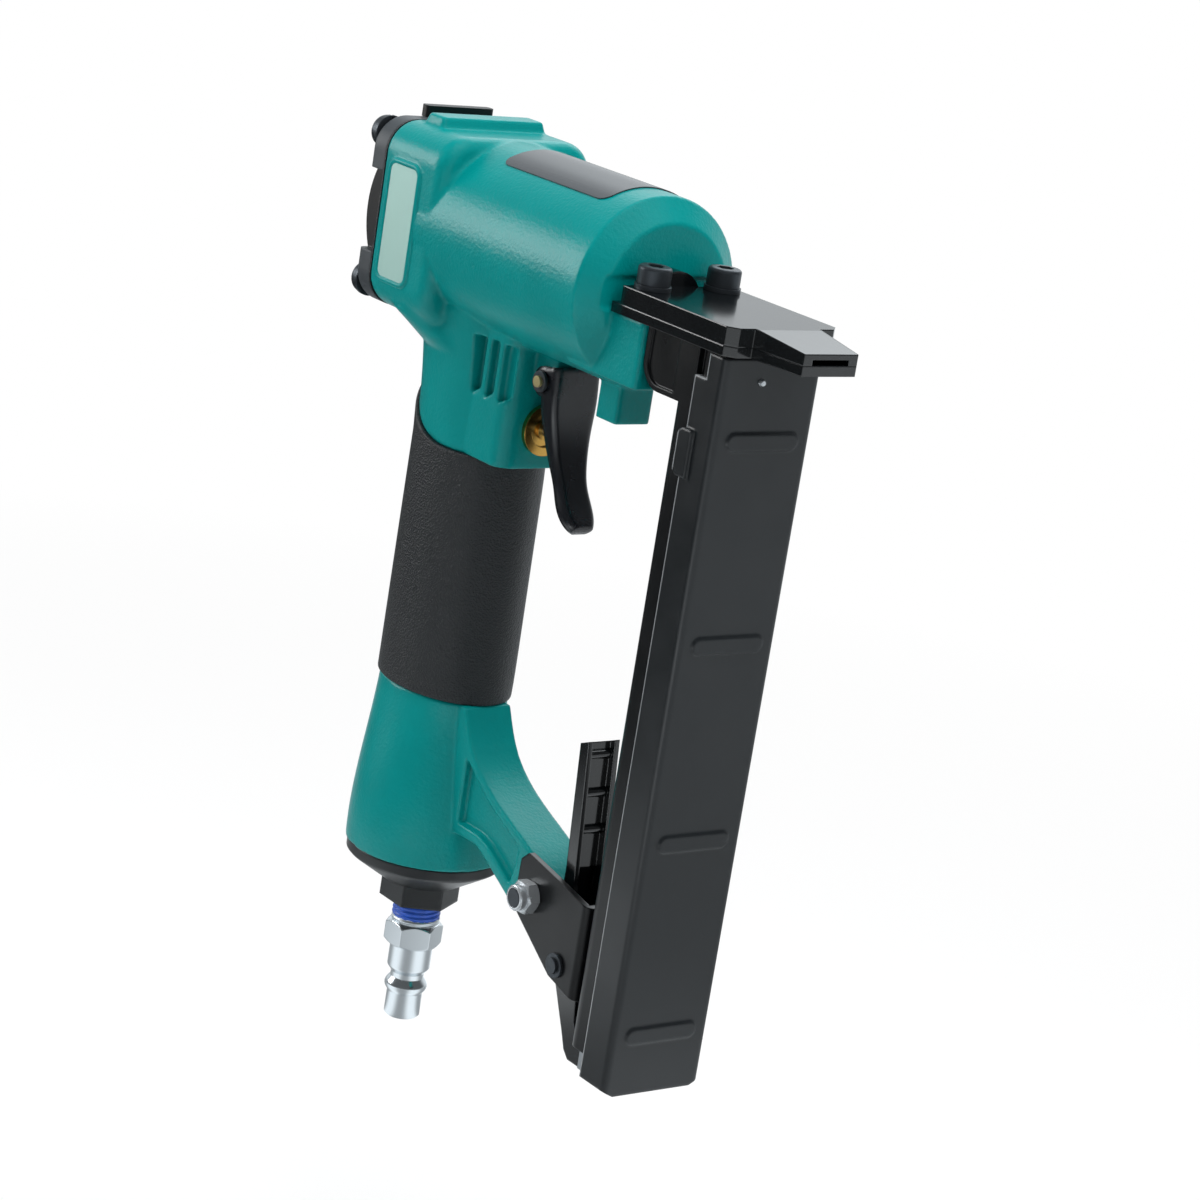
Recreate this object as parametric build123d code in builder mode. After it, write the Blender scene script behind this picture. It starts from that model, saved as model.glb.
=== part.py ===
"""Pneumatic upholstery stapler, modelled as its separate pieces.

Millimetres. The origin is the middle of the air plug's free end. +Z runs up the handle, +X is the way
the staple leaves, and the tool is symmetric about the XZ plane apart from its plate, tab and bolt.
"""
from build123d import *
import os
from math import cos, pi, radians, sin, sqrt

# Clearances
SEAT_GAP = 0.05          # between fixed pieces that sit in each other
RUN_GAP = 0.05           # radial, between a shaft or piston and its bore
SLIDE_GAP = 0.15         # between flat faces that slide on each other
FREE_GAP = 0.4           # between moving pieces that must not touch

# Barrel and head
AXIS_Z = 221.8           # height of the driver's axis above the plug's end
HEAD_BACK = -30.0
HEAD_LENGTH = 26.6
HEAD_WIDTH = 49.2
HEAD_HEIGHT = 50.6
HEAD_CORNER = 9.0
HEAD_EDGE = 4.0          # rounding of the head's front edges
SHOULDER_LOW = 189.5     # where the head's underside runs out into the handle
SHOULDER_RISE = 2.5      # how far it reaches up into the head
BARREL_R = 25.0
BARREL_FRONT = 65.6
BARREL_CHAMFER = 4.8     # along the barrel
BARREL_FACE_R = 18.9     # flat front inside that chamfer
NOSE_SEAT = 0.8          # depth of the milled seat across the lower front
NOSE_SEAT_TOP = 5.2      # its upper edge above the driver's axis
BARREL_WALL_FRONT = 6.6
PAD_X = -21.5            # raised pad on top of the head
PAD_LENGTH = 9.0
PAD_WIDTH = 34.0
PAD_HEIGHT = 3.0
PAD_DRAFT = 20.0
PLATE_LENGTH = 12.4      # name plate on the head's side
PLATE_HEIGHT = 30.4
PLATE_X = -19.8
PLATE_Z = 221.0
PLATE_THICK = 0.7
PLATE_RECESS = 0.9
PLATE_CORNER = 2.0
FRAME_RIM = 1.3          # raised rim around the name plate
FRAME_PROUD = 0.7
LABEL_START = 6.5        # label on top of the barrel
LABEL_LENGTH = 45.5
LABEL_ANGLE = 64.0
LABEL_THICK = 0.3
LABEL_CORNER = 3.0

# Cap
CAP_THICK = 7.0
GASKET_THICK = 0.6
CAP_EDGE = 2.2
CAP_NOTCH_HEIGHT = 22.0  # recesses at the cap's sides, and the crowned band between them
CAP_CROWN_PROUD = 2.8
CAP_NOTCH_DEPTH = 3.2
DEFLECTOR_WIDTH = 21.8
DEFLECTOR_LENGTH = 3.4
DEFLECTOR_HEIGHT = 3.2
CAP_SCREW_IN_Y = 5.6      # from the head's sides
CAP_SCREW_IN_Z = 5.3      # from the head's top and bottom
CAP_SCREW_REACH = 16.0
BUTTON_R = 4.4            # their button heads
BUTTON_HEAD = 2.8
BUTTON_EDGE = 1.6
BUTTON_AF = 3.0
BUTTON_SOCKET = 1.7

# M5 socket screws and their spring washers
SCREW_R = 2.5
HEAD_R = 4.3
SOCKET_HEAD = 4.7
SOCKET_EDGE = 0.9
SOCKET_AF = 4.0
SOCKET_DEPTH = 2.6
WASHER_R = 4.7
WASHER_THICK = 1.2
WASHER_SPLIT = 0.8

# Power unit
CYLINDER_BORE = 30.0
CYLINDER_WALL = 2.8
CYLINDER_BACK = -12.0
STROKE = 45.0
PISTON_LENGTH = 11.0
PISTON_GAP = 1.6         # from the cylinder's back edge to the piston at rest
PISTON_STEM_R = 6.4
PISTON_STEM = 9.0
RING_SECTION = 2.6
BLADE_WIDTH = 11.0
BLADE_THICK = 1.25
BLADE_ROOT = 2.0
BLADE_PIN_R = 1.5
BUMPER_HOLE = 7.2
BUMPER_GAP = 0.4         # bumper's face to the piston at the end of its stroke
HEAD_BORE_R = 19.2
HEAD_VALVE_LENGTH = 11.5
HEAD_VALVE_FACE = 4.0
HEAD_VALVE_WALL = 5.0
HEAD_SPRING_R = 9.0
HEAD_SPRING_WIRE = 1.6
HEAD_SPRING_TURNS = 3.0

# Nose
NOSE_HALF = 16.0         # nose block's half width
NOSE_FRONT = 79.0
NOSE_BACK = 50.0
NOSE_BOTTOM = 201.4
LUG_FRONT = 60.6
LUG_LENGTH = 9.0
LUG_WIDTH = 11.2
LUG_HEIGHT = 13.9
SLOT_PLAY = 0.1          # over and under the blade
BASE_THICK = 2.6         # base plate under the slot
GUIDE_THICK = 4.7        # front plate over it
GUIDE_HALF = 17.0
GUIDE_BACK = 69.6
BASE_BACK = 66.2
GUIDE_SHOULDER = 113.6
GUIDE_CORNER = 2.4
GUIDE_NECK_HALF = 10.0
GUIDE_TIP_HALF = 8.3
GUIDE_SLOPE_START = 114.6
GUIDE_TIP_WALL = 1.4     # steel left over the slot at the tip
GUIDE_DISC_R = 7.7       # half-round blade guide between barrel and plates
NOSE_SCREW_X = 73.6
NOSE_SCREW_DY = 22.0
NOSE_SCREW_REACH = 11.0

# Magazine
COVER_FACE = 111.1       # outer face of the sliding cover
COVER_HALF = 15.3
COVER_SHEET = 1.2
COVER_DEPTH = 10.6
COVER_LIP = 0.95
COVER_BEND = 1.6
COVER_BOTTOM = 25.5
COVER_TOP_GAP = 0.8
COVER_CHAMFER = 3.0
COVER_NOTCH_DEPTH = 4.4
COVER_NOTCH_HEIGHT = 6.4
RIB_WIDTH = 22.6
RIB_HEIGHT = 4.8
RIB_PROUD = 0.6
RIB_PITCH = 51.8
RIB_COUNT = 4
RIB_FIRST = 41.6
TAB_Z = 192.0            # finger tab on the cover's side
TAB_LENGTH = 12.0
TAB_REACH = 1.8
TAB_SHEET = 1.0
RAIL_BACK = 92.6         # shoulder of the fixed rail
RAIL_HALF = 14.9
RAIL_BEND = 4.1
RAIL_BOTTOM = 33.0
RAIL_WALL = 1.5
SPINE_BACK = 86.0        # narrow staple channel behind the shoulder
STAPLE_CROWN = 11.2
RAIL_HEAD_BACK = 79.6    # cheeks that reach back under the nose
RAIL_HEAD_HEIGHT = 15.4
RAIL_HEAD_CORNER = 7.0
RAIL_HEAD_SHEET = 2.0
RAIL_LIP = 1.5
RAIL_LIP_PROUD = 0.6
CORE_HALF = 4.25         # inner rail that the staples straddle
CORE_SHEET = 1.0
CORE_SLOT = 2.6
CORE_BRIDGE = 3.5
PUSHER_LENGTH = 20.0
PUSHER_SHEET = 1.1
ROD_R = 1.25
ROD_X = 101.0
PUSH_SPRING_R = 2.1
PUSH_SPRING_WIRE = 0.7
PUSH_SPRING_TURNS = 36
TAIL_HEIGHT = 10.0
TAIL_HALF = 11.5
TAIL_TONGUE_HALF = 5.2
TAIL_TONGUE_HEIGHT = 5.0
STUD_R = 1.0
STUD_HEIGHT = 0.9
STUD_Y = -3.2
STUD_DROP = 6.6          # below the rail's top

# Handle
HANDLE_X = -3.2
HANDLE_A = 21.4          # half depth and half width of the bare handle
HANDLE_B = 15.6
SLEEVE_BOTTOM = 97.6
SLEEVE_TOP = 165.6
SLEEVE_RISE = 17.0       # how much higher it reaches at the back
SLEEVE_PROUD = 0.9
SLEEVE_THICK = 2.4
FLARE_R = 22.6
FLARE_BOTTOM = 51.2
CHAMBER_R = 11.0
CHAMBER_TOP = 160.0
PORT_R = 4.5
PORT_X = -9.5

# End cap and air plug
CAP_RING_R = 22.0
CAP_RING_HEIGHT = 3.6
CAP_CONE_HEIGHT = 6.2
CAP_CONE_R = 11.6
CAP_HEX = 19.0
CAP_HEX_HEIGHT = 6.4
SPIGOT_R = 14.6
SPIGOT_LENGTH = 11.0
SEAL_SECTION = 2.2
THREAD_R = 6.3
THREAD_IN_CAP = 9.0
PLUG_BORE = 5.5
PLUG_TIP_R = 5.0
PLUG_TIP_LENGTH = 7.2
PLUG_BEAD_R = 6.0
PLUG_BEAD_LENGTH = 3.6
PLUG_NECK_R = 4.7
PLUG_NECK_LENGTH = 2.6
PLUG_BODY_R = 6.0
PLUG_BODY_LENGTH = 8.0
PLUG_HEX = 14.0
PLUG_HEX_LENGTH = 7.0
SEALANT_THICK = 0.35

# Trigger and its valve
VALVE_FACE = 24.0
VALVE_HALF = 13.0
VALVE_CORNER = 5.0
VALVE_DROP = 14.6        # valve's axis below the trigger's pin
VALVE_R = 6.0
VALVE_DEPTH = 16.0
BUSH_FLANGE_R = 7.0
BUSH_FLANGE = 1.5
BUSH_SPRING_R = 4.2
BUSH_GUIDE = 5.0
BUSH_DISH_R = 4.6
BUSH_DISH = 0.8
STEM_R = 1.5
STEM_COLLAR_R = 3.6
STEM_COLLAR = 1.6
STEM_TAIL = 4.0
VALVE_SPRING_R = 3.2
VALVE_SPRING_WIRE = 0.7
VALVE_SPRING_TURNS = 4.0
PIVOT_X = 30.4
PIVOT_DROP = 5.8         # trigger's pin below the barrel
PIVOT_R = 1.5
TRIGGER_HALF = 7.5
TRIGGER_SHEET = 1.5
TRIGGER_BOSS = 4.0
TRIGGER_EDGE = 1.8
# Outline in the XZ plane, measured from the pivot: front edge downwards, then rear edge upwards
TRIGGER_FRONT = [(5.2, 5.0), (6.6, -11.0), (8.9, -21.0), (12.5, -28.0), (17.6, -34.4)]
TRIGGER_REAR = [(15.2, -37.0), (10.4, -31.0), (6.2, -23.0), (2.8, -15.0), (0.4, -4.5), (-2.4, 3.2)]
# Half width from the front, measured from the pivot: it narrows downwards and ends in a rounded tongue
TRIGGER_SIDE = [
    (7.45, 8.0), (7.45, 0.0), (7.4, -5.0), (6.5, -12.0), (5.3, -21.0), (4.75, -26.5), (4.95, -31.0),
    (4.3, -34.6), (2.6, -36.7), (0.0, -37.4),
]
TRIGGER_POCKET_ENDS = 7      # points of that side along which the hollow behind the front runs
LUG_R = 3.3
GROOVE_WIDTH = 3.6
GROOVE_PITCH = 5.8
GROOVE_FIRST = 9.4
GROOVE_COUNT = 3
GROOVE_DEPTH = 2.6
GROOVE_BOTTOM = 184.4

# Arm, bracket and latch
ARM_WIDTH = 15.0
ARM_WEB = 10.6
ARM_END_R = 6.0
BOLT_X = 62.0
BOLT_Z = 60.6
# Arm's edges and its side recess in the XZ plane, measured from the bolt
ARM_TOP = [(-54.0, 51.4), (-43.8, 37.7), (-36.6, 25.6), (-28.5, 19.4), (-16.0, 14.0)]
ARM_LOW = [(-10.0, -7.2), (-26.0, 1.0), (-30.0, 2.6), (-54.0, 2.0)]
ARM_RECESS = [(-39.5, 23.9), (-35.5, 21.0), (-28.0, 16.2), (-16.0, 11.0), (-11.0, 8.8)]
ARM_RECESS_LOW = [(-13.0, -1.8), (-25.0, 4.4), (-29.6, 5.6), (-39.5, 5.6)]
BRACKET_HALF = 9.5
BRACKET_SHEET = 1.8
BRACKET_BEND = 2.4
# Bracket's side, measured from the bolt
BRACKET_SIDE = [
    (-6.9, -5.3), (-6.5, 8.1), (-3.6, 10.6), (9.9, 8.3), (24.0, 5.6), (24.0, -20.2), (12.1, -17.4),
]
NUT_AF = 8.0
NUT_HEIGHT = 3.6
NUT_COLLAR = 1.4
NUT_COLLAR_R = 3.5
BOLT_HEAD = 3.5
BOLT_TAIL = 0.8
RIVET_R = 1.5
RIVET_HEAD_R = 2.8
RIVET_HEAD = 0.9
RIVET_Z = 53.0
RIVET_PITCH = 14.0
LATCH_PIN_X = 76.6
LATCH_PIN_Z = 47.0
LATCH_PIN_R = 2.0
LATCH_HALF = 5.0
LATCH_SHEET = 1.4
# Lever's back edge downwards, its claw, and its front edge upwards, measured from its pin
LATCH_BACK = [(-9.9, 57.4), (-7.7, 24.1), (-8.0, 3.0), (-5.1, -6.0), (1.3, -18.6), (3.2, -22.8), (5.4, -24.8)]
LATCH_CLAW = [(11.6, -24.8), (11.6, -18.2)]
LATCH_FRONT = [(8.0, -17.6), (5.6, -14.0), (4.4, -4.0), (4.4, 3.4), (-1.0, 11.0), (-3.4, 20.2), (-6.6, 58.8)]
LATCH_RIB_HEIGHTS = [34.4, 44.3, 54.6]
LATCH_RIB = 1.2
LATCH_SPRING_R = 3.4
LATCH_SPRING_WIRE = 0.9
LATCH_SPRING_TURNS = 3.0
LATCH_SPRING_LENGTH = 4.8
CLIP_RIM = 1.3           # how far a retaining clip stands out from its pin
CLIP_THICK = 0.8
PIN_END = 0.8            # pin beyond its clip

os.makedirs("parts", exist_ok=True)

# Places worked out from the sizes above
HEAD_TOP = AXIS_Z + HEAD_HEIGHT / 2
HEAD_BOTTOM = AXIS_Z - HEAD_HEIGHT / 2
CAP_SCREW_DY = HEAD_WIDTH - 2 * CAP_SCREW_IN_Y
CAP_SCREW_DZ = HEAD_HEIGHT - 2 * CAP_SCREW_IN_Z
CAP_FRONT = HEAD_BACK - GASKET_THICK
CAP_BACK = CAP_FRONT - CAP_THICK
CYLINDER_R = CYLINDER_BORE / 2
CYLINDER_OUT = CYLINDER_R + CYLINDER_WALL
BORE_FRONT = BARREL_FRONT - BARREL_WALL_FRONT
PISTON_BACK = CYLINDER_BACK + PISTON_GAP
PISTON_FRONT = PISTON_BACK + PISTON_LENGTH
BUMPER_BACK = PISTON_FRONT + STROKE + BUMPER_GAP
BLADE_TIP = SPINE_BACK
GUIDE_TIP = BLADE_TIP + STROKE - 0.2
SLOT_WIDTH = BLADE_WIDTH + 2 * SLIDE_GAP
SLOT_BOTTOM = AXIS_Z - BLADE_THICK / 2 - SLOT_PLAY
SLOT_TOP = AXIS_Z + BLADE_THICK / 2 + SLOT_PLAY
BASE_BOTTOM = SLOT_BOTTOM - BASE_THICK
GUIDE_TOP = SLOT_BOTTOM + GUIDE_THICK
VALVE_SEAT = CYLINDER_BACK - 0.3
HEAD_VALVE_BACK = VALVE_SEAT - HEAD_VALVE_LENGTH
CHANNEL_HALF = STAPLE_CROWN / 2 + SLIDE_GAP
SPINE_HALF = CHANNEL_HALF + RAIL_WALL
CHANNEL_BACK = SPINE_BACK + RAIL_WALL
COVER_INNER = COVER_FACE - COVER_SHEET
COVER_EDGE = COVER_FACE - COVER_DEPTH
COVER_WALL = COVER_HALF - COVER_SHEET
RAIL_TOP = BASE_BOTTOM
COVER_TOP = RAIL_TOP - COVER_TOP_GAP
CORE_BACK = CHANNEL_BACK + PUSHER_SHEET + 3 * SLIDE_GAP
CORE_TOP = RAIL_TOP - 1.2
TAIL_BOTTOM = COVER_BOTTOM + 0.6
TAIL_TOP = TAIL_BOTTOM + TAIL_HEIGHT
PUSHER_TOP = CORE_TOP - CORE_BRIDGE - FREE_GAP
PUSHER_BOTTOM = PUSHER_TOP - PUSHER_LENGTH
HANDLE_IN_A = HANDLE_A + SLEEVE_PROUD - SLEEVE_THICK
HANDLE_IN_B = HANDLE_B + SLEEVE_PROUD - SLEEVE_THICK
BARREL_LOW = AXIS_Z - BARREL_R
PIVOT_Z = BARREL_LOW - PIVOT_DROP
VALVE_Z = PIVOT_Z - VALVE_DROP
PLUG_HEX_BOTTOM = PLUG_TIP_LENGTH + PLUG_BEAD_LENGTH + PLUG_NECK_LENGTH + PLUG_BODY_LENGTH
PLUG_HEX_TOP = PLUG_HEX_BOTTOM + PLUG_HEX_LENGTH
CAP_RING_BOTTOM = FLARE_BOTTOM - CAP_RING_HEIGHT
CAP_HEX_TOP = CAP_RING_BOTTOM - CAP_CONE_HEIGHT
CAP_HEX_BOTTOM = CAP_HEX_TOP - CAP_HEX_HEIGHT
BRACKET_FACE = BOLT_X + BRACKET_SIDE[4][0]
BARREL_AXIS = Axis((0, 0, AXIS_Z), (1, 0, 0))
HEX = 1 / cos(pi / 6)    # corner over flat of a hexagon


def from_point(middle_x, middle_z, offsets):
    """Outline points measured from a pivot or bolt, turned into places."""
    return [(middle_x + dx, middle_z + dz) for dx, dz in offsets]


def biarc_joint(first, last, first_dir, last_dir):
    """Where two arcs meet that leave one point and reach the other along the given directions."""
    chord = last - first
    spread = 2 * (1 - first_dir.dot(last_dir))
    along = chord.dot(first_dir + last_dir)
    reach = (sqrt(along * along + spread * chord.dot(chord)) - along) / spread
    return (first + last + (first_dir - last_dir) * reach) * 0.5


def coil_path(label, start, direction, radius, length, turns, wire):
    """Helix of quarter turns, each a pair of tangent arcs. Prints its least gap to itself."""
    frame = Plane(origin=start, z_dir=direction)
    pitch = length / turns
    points, tangents = [], []
    for quarter in range(round(turns * 4) + 1):
        angle = quarter * pi / 2
        spot = Vector(radius * cos(angle), radius * sin(angle), pitch * quarter / 4)
        points.append(frame.from_local_coords(spot))
        round_part = frame.y_dir * cos(angle) - frame.x_dir * sin(angle)
        tangents.append((round_part * 2 * pi * radius + frame.z_dir * pitch).normalized())
    arcs = []
    for i in range(len(points) - 1):
        middle = biarc_joint(points[i], points[i + 1], tangents[i], tangents[i + 1])
        arcs.append(TangentArc(points[i], middle, tangent=tangents[i], mode=Mode.PRIVATE))
        arcs.append(TangentArc(middle, points[i + 1], tangent=arcs[-1] % 1, mode=Mode.PRIVATE))
    apart = min((a - b).length for i, a in enumerate(points) for b in points[i + 3:])
    print(f"{label}: least gap to itself {apart - wire:.2f} mm")
    return Wire(arcs), Plane(origin=points[0], z_dir=tangents[0])


def oval_column(sections):
    """Smooth column through upright ovals, each (height, middle x, half depth, half width)."""
    with BuildPart() as column:
        for height, middle, half_depth, half_width in sections:
            with BuildSketch(Plane.XY.offset(height)):
                with Locations((middle, 0)):
                    Ellipse(half_depth, half_width)
        loft()
    return column.part


def below_sleeve_edge(drop):
    """Space below the sleeve's upper edge, which sweeps up at the back, lowered by drop."""
    reach = 2 * HANDLE_A
    edge = SLEEVE_TOP - drop
    knee = HANDLE_X + HANDLE_A * 0.3
    back = HANDLE_X - HANDLE_A * 1.15
    with BuildPart() as space:
        with BuildSketch(Plane.XZ):
            with BuildLine():
                Polyline(
                    (back, edge + SLEEVE_RISE),
                    (back - reach, edge + SLEEVE_RISE),
                    (back - reach, SLEEVE_BOTTOM),
                    (HANDLE_X + reach, SLEEVE_BOTTOM),
                    (HANDLE_X + reach, edge),
                    (knee, edge),
                )
                TangentArc((knee, edge), (back, edge + SLEEVE_RISE), tangent=(-1, 0))
            make_face()
        extrude(amount=reach, both=True)
    return space.part


# Body casting: head, barrel, nose block, handle and arm in one
FLARE_RUN = SLEEVE_BOTTOM - FLARE_BOTTOM
NECK_RUN = BARREL_LOW - SLEEVE_TOP
HANDLE_SECTIONS = [
    (SLEEVE_BOTTOM, HANDLE_X, HANDLE_A, HANDLE_B),
    (SLEEVE_TOP, HANDLE_X, HANDLE_A - 0.4, HANDLE_B - 0.4),
    (SLEEVE_TOP + 0.55 * NECK_RUN, HANDLE_X - 0.4, HANDLE_A + 0.6, HANDLE_B),
    (BARREL_LOW + 6, HANDLE_X - 0.8, HANDLE_A + 4.0, HANDLE_B + 2.0),
]
handle_core = oval_column([
    (SLEEVE_BOTTOM - 3, HANDLE_X, HANDLE_IN_A, HANDLE_IN_B),
    (AXIS_Z - BARREL_R / 2, HANDLE_X, HANDLE_IN_A, HANDLE_IN_B),
])
flare = oval_column([
    (FLARE_BOTTOM, 0, FLARE_R, FLARE_R),
    (FLARE_BOTTOM + 0.28 * FLARE_RUN, HANDLE_X * 0.2, FLARE_R - 0.3, FLARE_R - 0.5),
    (FLARE_BOTTOM + 0.62 * FLARE_RUN, HANDLE_X * 0.7, HANDLE_A, HANDLE_B + 3.4),
    HANDLE_SECTIONS[0],
])
upper_handle = oval_column(HANDLE_SECTIONS)
shoulder = oval_column([
    (SHOULDER_LOW, HANDLE_X - 0.6, HANDLE_A + 0.8, HANDLE_B),
    (HEAD_BOTTOM + SHOULDER_RISE, HEAD_BACK + HEAD_LENGTH / 2, HEAD_LENGTH / 2, HEAD_WIDTH / 2 - 1),
])
sleeve_space = below_sleeve_edge(0) - handle_core

with BuildPart() as body:
    with BuildSketch(Plane.YZ.offset(HEAD_BACK)):
        with Locations((0, AXIS_Z)):
            RectangleRounded(HEAD_WIDTH, HEAD_HEIGHT, HEAD_CORNER)
    extrude(amount=HEAD_LENGTH)
    fillet(body.faces().sort_by(Axis.X)[-1].edges(), radius=HEAD_EDGE)
    with BuildSketch(Plane.XZ):
        with BuildLine():
            Polyline(
                (HEAD_BACK + HEAD_LENGTH / 2, AXIS_Z),
                (HEAD_BACK + HEAD_LENGTH / 2, AXIS_Z + BARREL_R),
                (BARREL_FRONT - BARREL_CHAMFER, AXIS_Z + BARREL_R),
                (BARREL_FRONT, AXIS_Z + BARREL_FACE_R),
                (BARREL_FRONT, AXIS_Z),
                close=True,
            )
        make_face()
    revolve(axis=BARREL_AXIS)
    add(flare)
    add(upper_handle)
    add(shoulder)
    # Valve block in front of the handle, under the barrel
    with BuildSketch(Plane.XY.offset(SLEEVE_TOP)):
        with Locations((VALVE_FACE / 2 - VALVE_CORNER, 0)):
            RectangleRounded(VALVE_FACE + 2 * VALVE_CORNER, 2 * VALVE_HALF, VALVE_CORNER)
    extrude(amount=BARREL_LOW + BARREL_R / 2 - SLEEVE_TOP)
    # Trigger lug, nose block and the small lug under it
    with BuildSketch(Plane.XZ):
        with Locations((PIVOT_X, PIVOT_Z)):
            Circle(LUG_R)
            Rectangle(2 * LUG_R, AXIS_Z - PIVOT_Z, align=(Align.CENTER, Align.MIN))
            Rectangle(PIVOT_X - VALVE_FACE + 2, AXIS_Z - PIVOT_Z, align=(Align.MAX, Align.MIN))
    extrude(amount=TRIGGER_HALF - TRIGGER_SHEET - FREE_GAP, both=True)
    with BuildSketch(Plane.XY.offset(NOSE_BOTTOM)):
        with Locations(((NOSE_BACK + NOSE_FRONT) / 2, 0)):
            RectangleRounded(NOSE_FRONT - NOSE_BACK, 2 * NOSE_HALF, 1.2)
    extrude(amount=BASE_BOTTOM - NOSE_BOTTOM)
    with BuildSketch(Plane.XY.offset(NOSE_BOTTOM - LUG_HEIGHT)):
        with Locations((LUG_FRONT - LUG_LENGTH / 2, 0)):
            RectangleRounded(LUG_LENGTH, LUG_WIDTH, 1.0)
    extrude(amount=LUG_HEIGHT + 2)
    # Raised pad and the rim around the name plate
    with BuildSketch(Plane.XY.offset(HEAD_TOP - 1)):
        with Locations((PAD_X, 0)):
            RectangleRounded(PAD_LENGTH + 1, PAD_WIDTH + 1, 2.0)
    extrude(amount=PAD_HEIGHT + 1, taper=PAD_DRAFT)
    with BuildSketch(Plane.XZ.offset(HEAD_WIDTH / 2 - 1)):
        with Locations((PLATE_X, PLATE_Z)):
            RectangleRounded(
                PLATE_LENGTH + 2 * FRAME_RIM, PLATE_HEIGHT + 2 * FRAME_RIM, PLATE_CORNER + FRAME_RIM
            )
    extrude(amount=1 + FRAME_PROUD, taper=10)
    # I-shaped arm from the handle's end to the bracket
    arm_top_end = (BOLT_X + ARM_END_R * sin(radians(22)), BOLT_Z + ARM_END_R * cos(radians(22)))
    arm_low_end = (BOLT_X - ARM_END_R * sin(radians(25)), BOLT_Z - ARM_END_R * cos(radians(25)))
    arm_top = from_point(BOLT_X, BOLT_Z, ARM_TOP)
    with BuildSketch(Plane.XZ):
        with BuildLine():
            Spline(*arm_top, arm_top_end)
            ThreePointArc(arm_top_end, (BOLT_X + ARM_END_R, BOLT_Z), arm_low_end)
            Polyline(arm_low_end, *from_point(BOLT_X, BOLT_Z, ARM_LOW), arm_top[0])
        make_face()
    extrude(amount=ARM_WIDTH / 2, both=True)
    for side in (1, -1):
        recess_top = from_point(BOLT_X, BOLT_Z, ARM_RECESS)
        recess_low = from_point(BOLT_X, BOLT_Z, ARM_RECESS_LOW)
        with BuildSketch(Plane.XZ.offset(side * ARM_WEB / 2)):
            with BuildLine():
                Spline(*recess_top)
                Polyline(recess_top[-1], *recess_low, recess_top[0])
            make_face()
        extrude(amount=side * ARM_WIDTH, mode=Mode.SUBTRACT)
    # Milled seat of the nose plates across the barrel's front
    with BuildSketch(Plane.YZ.offset(BARREL_FRONT - NOSE_SEAT)):
        with Locations((0, BASE_BOTTOM)):
            Rectangle(2 * BARREL_R, AXIS_Z + NOSE_SEAT_TOP - BASE_BOTTOM, align=(Align.CENTER, Align.MIN))
    extrude(amount=2 * NOSE_SEAT, mode=Mode.SUBTRACT)
    # Grooves below the barrel
    for side in (1, -1):
        for i in range(GROOVE_COUNT):
            left = GROOVE_FIRST + i * GROOVE_PITCH - GROOVE_WIDTH / 2
            with BuildSketch(Plane.XZ.offset(side * (VALVE_HALF - GROOVE_DEPTH))):
                with BuildLine():
                    Polyline(
                        (left, GROOVE_BOTTOM - GROOVE_WIDTH * 0.6),
                        (left + GROOVE_WIDTH, GROOVE_BOTTOM),
                        (left + GROOVE_WIDTH, BARREL_LOW + 1.2),
                        (left, BARREL_LOW + 1.2),
                        close=True,
                    )
                make_face()
            extrude(amount=side * BARREL_R, mode=Mode.SUBTRACT)
    # Room for the sleeve
    add(sleeve_space, mode=Mode.SUBTRACT)
    # Bores: head chamber, cylinder, blade passage, end cap seat, handle chamber, port, trigger valve
    with BuildSketch(Plane.YZ.offset(HEAD_BACK)):
        with Locations((0, AXIS_Z)):
            Circle(HEAD_BORE_R)
    extrude(amount=CYLINDER_BACK - HEAD_BACK, mode=Mode.SUBTRACT)
    with BuildSketch(Plane.YZ.offset(CYLINDER_BACK)):
        with Locations((0, AXIS_Z)):
            Circle(CYLINDER_OUT + SEAT_GAP)
    extrude(amount=BORE_FRONT - CYLINDER_BACK, mode=Mode.SUBTRACT)
    with BuildSketch(Plane.YZ.offset(BORE_FRONT)):
        with Locations((0, AXIS_Z)):
            Rectangle(BLADE_WIDTH + 2 * FREE_GAP, BLADE_THICK + 2 * FREE_GAP)
    extrude(amount=BARREL_WALL_FRONT, mode=Mode.SUBTRACT)
    with BuildSketch(Plane.XY.offset(FLARE_BOTTOM)):
        Circle(SPIGOT_R + SEAT_GAP)
    extrude(amount=SPIGOT_LENGTH + 1, mode=Mode.SUBTRACT)
    with BuildSketch(Plane.XY.offset(FLARE_BOTTOM)):
        with Locations((HANDLE_X / 2, 0)):
            Circle(CHAMBER_R)
    extrude(amount=CHAMBER_TOP - FLARE_BOTTOM, mode=Mode.SUBTRACT)
    with BuildSketch(Plane.XY.offset(CHAMBER_TOP - 1)):
        with Locations((PORT_X, 0)):
            Circle(PORT_R)
    extrude(amount=AXIS_Z - CYLINDER_OUT - CHAMBER_TOP + 2, mode=Mode.SUBTRACT)
    with BuildSketch(Plane.YZ.offset(VALVE_FACE - VALVE_DEPTH)):
        with Locations((0, VALVE_Z)):
            Circle(VALVE_R + SEAT_GAP)
    extrude(amount=VALVE_DEPTH + 1, mode=Mode.SUBTRACT)
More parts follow.
